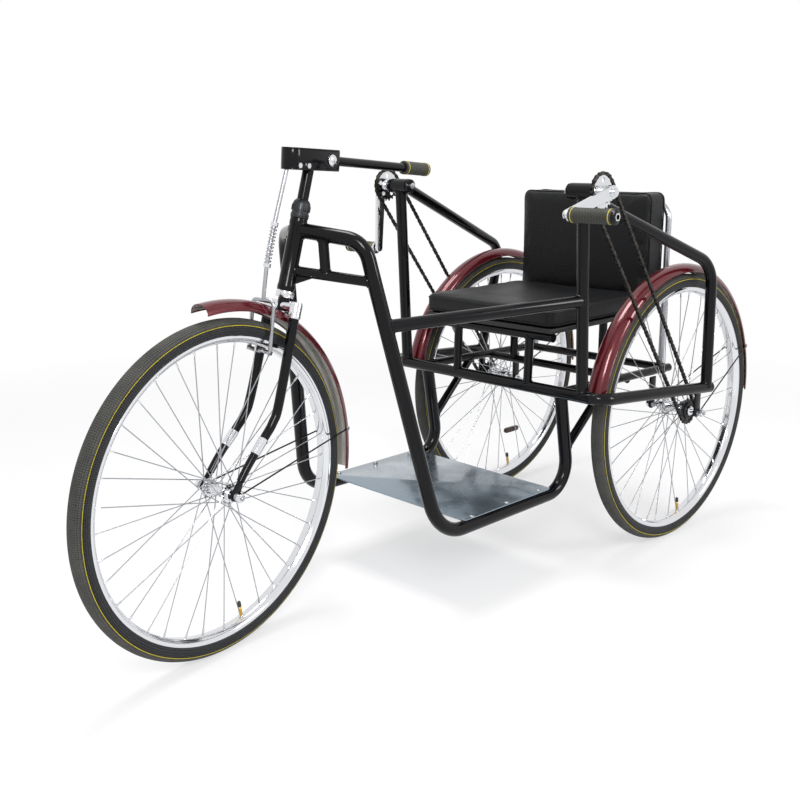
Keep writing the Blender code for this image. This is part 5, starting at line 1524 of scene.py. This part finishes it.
        outer = nose(-0.0664, 0.0763, 0.0228)
        inner = nose(-0.0664, 0.0723, 0.0188)
        wall = outer[:-1] + [inner[-2]] + inner[-3::-1] + [inner[-1], outer[-1]]
        parts = [painted(cut_plate("cheeks", wall, -0.0185, 0.0185, place, 0.0006), BLACK_ENAMEL)]
        for low, high in ((-0.0221, -0.0183), (0.0183, 0.0221)):
            parts.append(painted(cut_plate("lid", outer, low, high, place, 0.0014), BLACK_ENAMEL))
        for ahead in (0.030, 0.056):
            head = place(ahead, 0.0228, -0.013)
            parts.append(painted(bend_tube("nut", (head, head + Vector((0.0, 0.0034, 0.0))), 0.0058, 6), CHROME))
        self.steered("boxed_tiller_bracket", parts, Slot.ENAMEL, "tiller_bracket")

    def tiller(self) -> None:
        """The tiller bar on its bolt, and its grip."""
        pivot = self.leaning(self.bracket_tilt)(-0.043, 0.0, 0.0)
        lean = self.leaning(self.tiller_tilt)
        along = lean(-1.0, 0.0, 0.0) - lean(0.0, 0.0, 0.0)
        end = pivot + along * self.tiller_length
        parts = [painted(bend_tube("bar", (pivot - along * 0.024, end - along * 0.006), 0.010, 24), BLACK_ENAMEL)]
        for sign in (1, -1):
            start = 0.0233
            profile = ((0.0, start), (0.0118, start), (0.0123, start + 0.0010), (0.0104, start + 0.0030),
                       (0.0060, start + 0.0044), (0.0, start + 0.0048))
            head = placed(turn_on_lathe("bolt_head", profile, 28), Matrix.Scale(sign, 4, (0.0, 1.0, 0.0)))
            parts.append(painted(placed(head, Matrix.Translation(pivot)), CHROME))
        self.steered("tiller_on_its_bolt", parts, Slot.ENAMEL, "tiller_bar")
        grip = ribbed_grip("tiller_grip", 0.0155, 0.0104, self.grip_length, 9)
        placed(grip, Matrix.Translation(end - along * self.grip_length) @ turned_to(along))
        self.steered("ribbed_tiller_grip", [grip], Slot.GRIP, "tiller_grip")


@dataclass
class HandDrive:
    """Cranks above the rear wheels, their chains and freewheels, and the rear axles."""

    pitch: float = 0.0127
    ring_teeth: int = 20
    freewheel_teeth: int = 16
    chain_y: float = 0.345
    arm_y: float = 0.371
    arm_length: float = 0.168
    crank_x: float = 0.424
    crank_z: float = 0.932
    arm_angles: tuple[float, float] = (math.radians(-14), math.radians(-87))
    plate_half: float = 0.0012    # half the thickness of a sprocket
    windows: int = 5
    window: float = 0.0058
    window_circle: float = 0.0255
    cotter_at: float = 0.0098     # along the arm from the spindle's middle

    def build(self) -> None:
        """Make both sides; a chain is laid once and copied across."""
        pins, heading = self.chain_pins()
        chain = self.chain(pins)
        for (side, sign), angle in zip(SIDES, self.arm_angles):
            across = Matrix.Scale(sign, 4, (0.0, 1.0, 0.0))
            fitted(twin(chain, across), f"roller_chain_{side}", "frame", Slot.CHAIN, f"chain_{side}")
            hub = Matrix.Translation(at(0.0, sign * HALF_TRACK, WHEEL_RADIUS))
            freewheel = placed(self.freewheel(heading + math.pi), hub @ across)
            fitted(freewheel, f"toothed_freewheel_{side}", f"rear_wheel_{side}", Slot.CHAIN, f"freewheel_{side}")
            crank = across @ Matrix.Translation(at(self.crank_x, 0.0, self.crank_z))
            fitted(placed(self.housing(), crank), f"turned_crank_housing_{side}", "frame", Slot.ENAMEL,
                   f"crank_housing_{side}")
            fitted(placed(self.ring(heading), crank), f"pierced_chainring_{side}", f"crank_{side}", Slot.CHROME,
                   f"chainring_{side}")
            tip = Vector((self.arm_length * math.cos(angle), 0.0, self.arm_length * math.sin(angle)))
            fitted(placed(self.crank(tip), crank), f"forged_crank_{side}", f"crank_{side}", Slot.CHROME,
                   f"crank_{side}")
            fitted(placed(self.grip(tip), crank), f"capped_grip_{side}", f"grip_{side}", Slot.GRIP, f"grip_{side}")
            fitted(placed(self.rear_axle(), across), f"hung_rear_axle_{side}", "frame", Slot.STEEL,
                   f"rear_axle_{side}")
        bpy.data.objects.remove(chain)

    def pitch_radius(self, teeth: int) -> float:
        """Radius of the circle through the chain's pins on a sprocket."""
        return self.pitch / (2 * math.sin(math.pi / teeth))

    def chain_pins(self) -> tuple[list[Vector], float]:
        """Lay out the chain's pins round both sprockets.

        Returns:
            The pins in order, and the direction from the freewheel up to the ring.
        """
        top, bottom = Vector((self.crank_x, self.crank_z)), Vector((0.0, WHEEL_RADIUS))
        line = top - bottom
        heading = math.atan2(line.y, line.x)
        lean = math.asin((self.pitch_radius(self.ring_teeth) - self.pitch_radius(self.freewheel_teeth))
                         / line.length)
        wraps = []
        for centre, teeth, middle, half_wrap in ((top, self.ring_teeth, heading, math.pi / 2 + lean),
                                                 (bottom, self.freewheel_teeth, heading + math.pi,
                                                  math.pi / 2 - lean)):
            step = math.tau / teeth
            reach = math.floor(half_wrap / step + 0.25)
            angles = [middle + index * step for index in range(-reach, reach + 1)]
            wraps.append([centre + Vector((math.cos(angle), math.sin(angle))) * self.pitch_radius(teeth)
                          for angle in angles])
        pins = []
        for wrap, following in (wraps, wraps[::-1]):
            pins += wrap
            run = following[0] - wrap[-1]
            count = round(run.length / self.pitch)
            pins += [wrap[-1] + run * index / count for index in range(1, count)]
        return pins, heading

    def chain(self, pins: Sequence[Vector]) -> Item:
        """Assemble the left chain from one outer and one inner link, copied from pin to pin.

        Args:
            pins: The pins' places across the chain's plane.

        Returns:
            The chain.
        """
        steps = 6
        shape = capsule((0.0, 0.0), (self.pitch, 0.0), 0.0041, 0.0041, steps)
        waist = self.pitch / 2
        outline = shape[:steps + 1] + [(waist, -0.0030)] + shape[steps + 1:] + [(waist, 0.0030)]
        links = []
        for name, inner, outer, barrel, reach in (("outer_link", 0.0027, 0.0036, 0.0017, 0.0037),
                                                  ("inner_link", 0.0016, 0.0025, 0.0038, 0.0015)):
            parts = [cut_plate("plate", outline, *sorted((side * inner, side * outer))) for side in (1, -1)]
            for x in (0.0, self.pitch):
                parts.append(bend_tube("barrel", ((x, -reach, 0.0), (x, reach, 0.0)), barrel, 10))
            links.append(painted(joined(name, parts), CHAIN_STEEL))
        laid = []
        for index, pin in enumerate(pins):
            step = pins[(index + 1) % len(pins)] - pin
            turn = Matrix.Rotation(-math.atan2(step.y, step.x), 4, "Y")
            stretch = Matrix.Scale(step.length / self.pitch, 4, (1.0, 0.0, 0.0))
            laid.append(twin(links[index % 2], Matrix.Translation(at(pin.x, self.chain_y, pin.y)) @ turn @ stretch))
        for link in links:
            bpy.data.objects.remove(link)
        return joined("chain", laid)

    def teeth(self, count: int, phase: float) -> list[tuple[float, float]]:
        """Draw a sprocket's edge.

        Args:
            count: How many teeth it has.
            phase: The angle at which it has a gap.

        Returns:
            The outline's corners.
        """
        radius = self.pitch_radius(count)
        form = ((-0.38, -0.0004), (-0.2, -0.0042), (0.0, -0.0048), (0.2, -0.0042), (0.38, -0.0004), (0.5, 0.0010))
        outline = []
        for index in range(count):
            for share, rise in form:
                turn = phase + math.tau * (index + share) / count
                outline.append(((radius + rise) * math.cos(turn), (radius + rise) * math.sin(turn)))
        return outline

    def ring(self, phase: float) -> Item:
        """Cut the plated ring, pierced by round windows, and put it on its boss.

        Args:
            phase: The angle at which it has a gap.

        Returns:
            The ring about the crank's axis.
        """
        middle = self.chain_y
        ring = cut_plate("ring", self.teeth(self.ring_teeth, phase), middle - self.plate_half,
                         middle + self.plate_half)
        circle = self.window_circle
        windows = [cut_plate("window", [(circle * math.cos(turn) + x, circle * math.sin(turn) + z)
                                        for x, z in polygon(self.window, 20)], middle - 0.01, middle + 0.01)
                   for turn in (math.tau * index / self.windows + 0.3 for index in range(self.windows))]
        cutter = joined("windows", windows)
        pick(ring)
        bpy.ops.object.modifier_add(type="BOOLEAN")
        ring.modifiers[0].object = cutter
        ring.modifiers[0].solver = "EXACT"
        bpy.ops.object.modifier_apply(modifier=ring.modifiers[0].name)
        bpy.data.objects.remove(cutter)
        boss = turn_on_lathe("boss", ((0.0088, 0.3335), (0.0135, 0.3335), (0.0140, 0.3345), (0.0140, 0.3420),
                                      (0.0160, 0.3432), (0.0160, 0.3468), (0.0140, 0.3480), (0.0140, 0.3652),
                                      (0.0088, 0.3652)), 32, closed=True)
        return painted(joined("ring", [ring, boss]), CHROME)

    def freewheel(self, phase: float) -> Item:
        """Make the freewheel's toothed edge and its stepped body.

        Args:
            phase: The angle at which it has a gap.

        Returns:
            The freewheel about the wheel's middle.
        """
        middle = self.chain_y - HALF_TRACK
        toothed = cut_plate("teeth", self.teeth(self.freewheel_teeth, phase), middle - self.plate_half,
                            middle + self.plate_half)
        body = turn_on_lathe("body", ((0.0129, middle - 0.007), (0.0212, middle - 0.007), (0.0222, middle - 0.006),
                                      (0.0222, middle + 0.0036), (0.0208, middle + 0.0048),
                                      (0.0172, middle + 0.0048), (0.0166, middle + 0.0030),
                                      (0.0129, middle + 0.0030)), 36, closed=True)
        return painted(joined("freewheel", [toothed, body]), DARK_STEEL)

    def housing(self) -> Item:
        """The bearing housing on the post, with a locknut at each end."""
        return painted(turn_on_lathe("housing", (
            (0.0092, 0.2552), (0.0164, 0.2552), (0.0174, 0.2562), (0.0174, 0.2598), (0.0164, 0.2608),
            (0.0164, 0.2622), (0.0184, 0.2630), (0.0184, 0.3230), (0.0164, 0.3238), (0.0164, 0.3252),
            (0.0174, 0.3262), (0.0174, 0.3298), (0.0164, 0.3308), (0.0092, 0.3308)), 36, closed=True), BLACK_ENAMEL)

    def crank(self, tip: Vector) -> Item:
        """Forge an arm on its spindle, with the cotter, and the pin that carries the grip.

        Args:
            tip: The pin's place from the crank's axis.

        Returns:
            The crank about its axis.
        """
        across = Vector((0.0, 1.0, 0.0))
        along = tip.normalized()
        beside = along.cross(across)
        cotter = along * self.cotter_at + across * self.arm_y
        parts = [bend_tube("spindle", (across * 0.2475, across * 0.3825), 0.0084, 24),
                 cut_plate("arm", capsule((0.0, 0.0), (tip.x, tip.z), 0.0149, 0.0099, 16), self.arm_y - 0.0049,
                           self.arm_y + 0.0049, upright, 0.0018, 3),
                 turn_on_lathe("boss", ((0.0, 0.3755), (0.0125, 0.3755), (0.0125, 0.3785), (0.0112, 0.3798),
                                        (0.0, 0.3798)), 28),
                 bend_tube("cotter", (cotter - beside * 0.0165, cotter + beside * 0.0165), 0.0030, 14),
                 bend_tube("nut", (cotter + beside * 0.0130, cotter + beside * 0.0168), 0.0052, 6),
                 bend_tube("pin", (tip + across * 0.3685, tip + across * 0.4976), 0.0054, 20),
                 bend_tube("pin_nut", (tip + across * 0.4942, tip + across * 0.4976), 0.0088, 6)]
        return painted(joined("crank", parts), CHROME)

    def grip(self, tip: Vector) -> Item:
        """Put a ribbed grip between a plated cap and a plain one.

        Args:
            tip: The pin's place from the crank's axis.

        Returns:
            The grip on its pin.
        """
        rubber = placed(ribbed_grip("grip", 0.0164, 0.0062, 0.1060, 11), Matrix.Translation((0.0, 0.3836, 0.0)))
        inner = painted(turn_on_lathe("cap", ((0.0062, 0.3792), (0.0140, 0.3792), (0.0160, 0.3806), (0.0164, 0.3836),
                                              (0.0062, 0.3836)), 32, closed=True), CHROME)
        outer = painted(turn_on_lathe("cap", ((0.0062, 0.4896), (0.0164, 0.4896), (0.0160, 0.4922), (0.0130, 0.4938),
                                              (0.0062, 0.4938)), 32, closed=True), BLACK_ENAMEL)
        return placed(joined("grip", [rubber, inner, outer]), Matrix.Translation(tip))

    def rear_axle(self) -> Item:
        """A left rear spindle in its hangers, with its nuts."""
        place = Matrix.Translation(at(0.0, 0.0, WHEEL_RADIUS))
        parts = [spindle(0.2212, 0.3950), *(axle_nut(start, start + 0.0088) for start in (0.2246, 0.3822))]
        for middle, top in ((0.236, 0.4295), (0.371, 0.4062)):
            rise = top - WHEEL_RADIUS
            bowl = [(0.0129 * math.cos(turn), 0.0129 * math.sin(turn))
                    for turn in (-math.pi * step / 16 for step in range(17))]
            hanger = cut_plate("hanger", [(0.0129, rise), *bowl, (-0.0129, rise)], middle - 0.0024,
                               middle + 0.0024, upright, 0.0006)
            parts.append(painted(hanger, BLACK_ENAMEL))
        return placed(joined("rear_axle", parts), place)


@dataclass
class Upholstery:
    """Boxed foam pads in piped vinyl, swollen by a cloth simulation, and the board under the seat."""

    inset: float = 0.006      # how much smaller a pad starts than the room that it has
    cap: float = 0.0052       # how far the pressure may push a point
    voxel: float = 0.006
    piping: float = 0.0017
    corner: float = 0.022
    board_corner: float = 0.010
    pressure: float = 4.0
    frames: int = 20          # how long the pressure works

    def build(self) -> None:
        """Make the seat, the backrest and the board."""
        low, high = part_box("seat_cushion")
        self.pad("seat_cushion", "piped_seat_pad", Vector(low), Vector(high), Matrix.Identity(4), 0.85)
        turn = Matrix(((0, 0, 1, 0), (0, 1, 0, 0), (-1, 0, 0, 0), (0, 0, 0, 1)))
        low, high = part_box("backrest_cushion")
        self.pad("backrest_cushion", "piped_backrest_pad", Vector((-high[2], low[1], low[0])),
                 Vector((-low[2], high[1], high[0])), turn, 0.9)
        low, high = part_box("seat_board")
        board = cut_plate("board", round_cornered(low, high, self.board_corner), low[2], high[2], flat, 0.0015)
        fitted(painted(board, SEAT_PLY), "plywood_seat_board", "frame", Slot.BOARD, "seat_board")

    def pad(self, node: str, name: str, low: Vector, high: Vector, turn: Matrix, fill: float) -> None:
        """Sew one pad: its face looks up while it is made.

        Args:
            node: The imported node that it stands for.
            name: The piece's name.
            low: The room's lowest corner, before the pad is turned.
            high: The room's highest corner.
            turn: How the pad is turned into place.
            fill: How tightly it is stuffed.
        """
        start = round_cornered(low, high, self.corner, -self.inset)
        pad = cut_plate("pad", start, low.z + 0.0015, high.z - self.inset, flat, 0.010, 4)
        pad.data.remesh_voxel_size = self.voxel
        bpy.ops.object.voxel_remesh()
        rest = [vertex.co.copy() for vertex in pad.data.vertices]
        self.inflate(pad)
        for vertex, before in zip(pad.data.vertices, rest):
            push = vertex.co - before
            if push.length > 1e-9:
                vertex.co = before + push.normalized() * self.cap * math.tanh(push.length / self.cap)
            vertex.co.z = max(vertex.co.z, low.z)
        pick(pad)
        bpy.ops.object.modifier_add(type="SUBSURF")
        pad.modifiers[0].levels = 1
        bpy.ops.object.modifier_apply(modifier=pad.modifiers[0].name)
        parts = [painted(pad, VINYL)]
        for height in (low.z + 0.007, high.z - 0.014):
            seam = []
            for x, y in self.spread(round_cornered(low, high, self.corner, 0.004)):
                _, place, normal, _ = pad.closest_point_on_mesh(Vector((x, y, height)))
                seam.append(Vector((place.x, place.y, height)) + Vector((normal.x, normal.y, 0.0)) * 0.0003)
            parts.append(painted(bend_tube("piping", seam, self.piping, 8, closed=True), VINYL))
        piece = placed(joined(name, parts), turn)
        fitted(piece, name, "frame", Slot.VINYL, node, smooth=60)

    def spread(self, outline: Sequence[tuple[float, float]], gap: float = 0.012) -> list[tuple[float, float]]:
        """Add points along an outline's long sides.

        Args:
            outline: The outline's corners.
            gap: About how far apart its points end up.

        Returns:
            The outline with its added points.
        """
        points = []
        for first, second in zip(outline, [*outline[1:], outline[0]]):
            count = max(1, round(math.dist(first, second) / gap))
            points += [(first[0] + (second[0] - first[0]) * step / count,
                        first[1] + (second[1] - first[1]) * step / count) for step in range(count)]
        return points

    def inflate(self, pad: Item) -> None:
        """Swell a pad with pressure from inside, and keep the shape it reaches.

        Args:
            pad: The pad, as it was cut.
        """
        pick(pad)
        bpy.ops.object.modifier_add(type="CLOTH")
        cloth = pad.modifiers[0]
        cloth.settings.quality = 5
        cloth.settings.use_pressure = True
        cloth.settings.uniform_pressure_force = self.pressure
        cloth.settings.effector_weights.gravity = 0.0
        cloth.point_cache.frame_start, cloth.point_cache.frame_end = 1, self.frames
        for step in range(1, self.frames + 1):
            bpy.context.scene.frame_set(step)
        bpy.ops.object.modifier_apply(modifier=cloth.name)
        bpy.context.scene.frame_set(1)


@dataclass
class Fittings:
    """The lacquered footboard with its screws, and the spoke reflector."""

    corner: float = 0.012
    screw_places: tuple[tuple[float, float], ...] = ((0.465, 0.222), (0.590, 0.226), (0.715, 0.229))

    def build(self) -> None:
        """Make the footboard and the reflector."""
        low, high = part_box("footboard")
        outline = round_cornered(low, high, self.corner)
        parts = [painted(cut_plate("plate", outline, low[2], high[2], flat, 0.0008), FOOT_PLATE)]
        screw = painted(turn_on_lathe("screw", ((0.0, -0.001), (0.0062, -0.001), (0.0062, 0.0004), (0.0052, 0.0018),
                                                (0.0030, 0.0026), (0.0, 0.0028)), 24), ZINC)
        placed(screw, Matrix.Rotation(math.pi / 2, 4, "X"))
        for x, y in self.screw_places:
            for sign in (1, -1):
                spot = at(x, sign * y, high[2])
                parts.append(twin(screw, Matrix.Translation(spot)))
        bpy.data.objects.remove(screw)
        fitted(joined("footboard", parts), "lacquered_footboard", "frame", Slot.FOOTBOARD, "footboard")
        spot = at(-0.065, 0.0, 0.166)
        bar = capsule((spot.x - 0.024, spot.z), (spot.x + 0.024, spot.z), 0.008, 0.008)
        lens = painted(cut_plate("reflector", bar, -HALF_TRACK - 0.0045, -HALF_TRACK + 0.0045, upright, 0.0015),
                       REFLECTOR)
        fitted(lens, "spoke_reflector", "rear_wheel_right", Slot.GRIP)


@dataclass
class Studio:
    """A pale floor, soft lamps, and the camera where the photographer stood."""

    camera_place: Vector = field(default_factory=lambda: Vector((2.3451, 1.6773, 1.029)))
    heading: float = 3.9424   # radians from straight ahead, counter-clockwise
    tilt: float = -0.2424     # radians above the horizon
    roll: float = -0.0071
    focal_pixels: float = 1019.0
    centre_pixels: tuple[float, float] = (399.4, 400.0)
    floor_colour: str = "#F4F4F6"
    white_from: float = 1.6   # metres from the machine at which the floor turns white
    white_to: float = 3.2

    def build(self) -> None:
        """Set the floor, the lamps and the camera."""
        self.floor()
        self.world()
        self.lamps()
        self.camera()

    def camera(self) -> None:
        """Place the camera and give it the photograph's lens."""
        forward = Vector((math.cos(self.tilt) * math.cos(self.heading),
                          math.cos(self.tilt) * math.sin(self.heading), math.sin(self.tilt)))
        level = forward.cross(Vector((0, 0, 1))).normalized()
        upward = level.cross(forward)
        right = level * math.cos(self.roll) + upward * math.sin(self.roll)
        above = upward * math.cos(self.roll) - level * math.sin(self.roll)
        turn = Matrix((right, above, -forward)).transposed()
        lens = bpy.data.cameras.new("photo_camera")
        lens.sensor_width = 36.0
        lens.lens = self.focal_pixels / IMAGE_SIZE * lens.sensor_width
        lens.shift_x = (IMAGE_SIZE / 2 - self.centre_pixels[0]) / IMAGE_SIZE
        lens.shift_y = (self.centre_pixels[1] - IMAGE_SIZE / 2) / IMAGE_SIZE
        lens.clip_end = 100.0
        item = bpy.data.objects.new("photo_camera", lens)
        item.matrix_world = Matrix.Translation(at(*self.camera_place)) @ turn.to_4x4()
        bpy.context.scene.collection.objects.link(item)
        bpy.context.scene.camera = item

    def seen(self, tree: bpy.types.NodeTree) -> Socket:
        """Tell what the camera sees from what lights the scene.

        Args:
            tree: The tree that asks.

        Returns:
            One for rays from the camera, from gloss and through glass, and none for light.
        """
        rays = add_node(tree, "ShaderNodeLightPath")
        direct = add_node(tree, "ShaderNodeMath", {0: rays.outputs["Is Camera Ray"],
                                                   1: rays.outputs["Is Glossy Ray"]}, operation="MAXIMUM")
        return add_node(tree, "ShaderNodeMath", {0: direct.outputs[0], 1: rays.outputs["Is Transmission Ray"]},
                        operation="MAXIMUM").outputs[0]

    def floor(self) -> None:
        """Lay the floor: it keeps the shadow near the machine and turns white farther out."""
        deselect()
        bpy.ops.mesh.primitive_plane_add(size=60.0)
        floor = bpy.context.object
        floor.name = "studio_floor"
        material = bpy.data.materials.new("studio_floor_paper")
        material.use_nodes = True
        tree = material.node_tree
        paper = tree.nodes["Principled BSDF"]
        paper.inputs["Base Color"].default_value = linear(self.floor_colour)
        paper.inputs["Roughness"].default_value = 0.9
        paper.inputs["Specular IOR Level"].default_value = 0.1
        place = add_node(tree, "ShaderNodeTexCoord").outputs["Object"]
        reach = add_node(tree, "ShaderNodeVectorMath", {0: place}, operation="LENGTH")
        share = add_node(tree, "ShaderNodeMapRange", {
            "Value": reach.outputs["Value"], "From Min": self.white_from, "From Max": self.white_to,
            "To Min": 0.55, "To Max": 1.0})
        white = add_node(tree, "ShaderNodeMath", {0: share.outputs["Result"], 1: self.seen(tree)},
                         operation="MULTIPLY")
        glow = add_node(tree, "ShaderNodeEmission", {"Color": (1.0, 1.0, 1.0, 1.0), "Strength": 1.0})
        mix = add_node(tree, "ShaderNodeMixShader", {0: white.outputs[0], 1: paper.outputs[0],
                                                     2: glow.outputs[0]})
        tree.links.new(mix.outputs[0], tree.nodes["Material Output"].inputs["Surface"])
        floor.data.materials.append(material)

    def world(self) -> None:
        """Light the room softly, and show white behind the floor's far edge."""
        world = bpy.data.worlds.new("studio_room")
        bpy.context.scene.world = world
        world.use_nodes = True
        tree = world.node_tree
        strength = add_node(tree, "ShaderNodeMapRange", {"Value": self.seen(tree), "To Min": 0.55, "To Max": 1.0})
        tree.nodes["Background"].inputs["Color"].default_value = (1.0, 1.0, 1.0, 1.0)
        tree.links.new(strength.outputs["Result"], tree.nodes["Background"].inputs["Strength"])

    def lamps(self) -> None:
        """Hang the key lamp to the camera's left, a weaker one to its right and one overhead."""
        target = Vector((0.0, 0.0, 0.45))
        for name, place, size, power in (
            ("key_softbox", (2.2, 2.6, 2.6), 0.9, 75.0),
            ("side_softbox", (-1.6, 3.0, 1.8), 0.8, 40.0),
            ("overhead_softbox", (0.0, -0.4, 3.4), 1.0, 60.0),
        ):
            lamp = bpy.data.lights.new(name, "AREA")
            lamp.shape = "RECTANGLE"
            lamp.size, lamp.size_y, lamp.energy = size, size * 1.4, power
            item = bpy.data.objects.new(name, lamp)
            item.location = place
            item.rotation_euler = (target - Vector(place)).to_track_quat("-Z", "Y").to_euler()
            bpy.context.scene.collection.objects.link(item)


def main() -> None:
    """Build every sub-assembly in order."""
    logging.basicConfig(level=logging.INFO, format="%(name)s: %(message)s")
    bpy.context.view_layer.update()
    bpy.context.scene.view_settings.view_transform = "Standard"
    for assembly in (Studio(), Wheels(), Fenders(), TubeFrame(), Steering(), HandDrive(),
                     Upholstery(), Fittings()):
        assembly.build()
        LOG.info("built %s", type(assembly).__name__)
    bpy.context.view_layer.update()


if __name__ == "__main__":
    main()
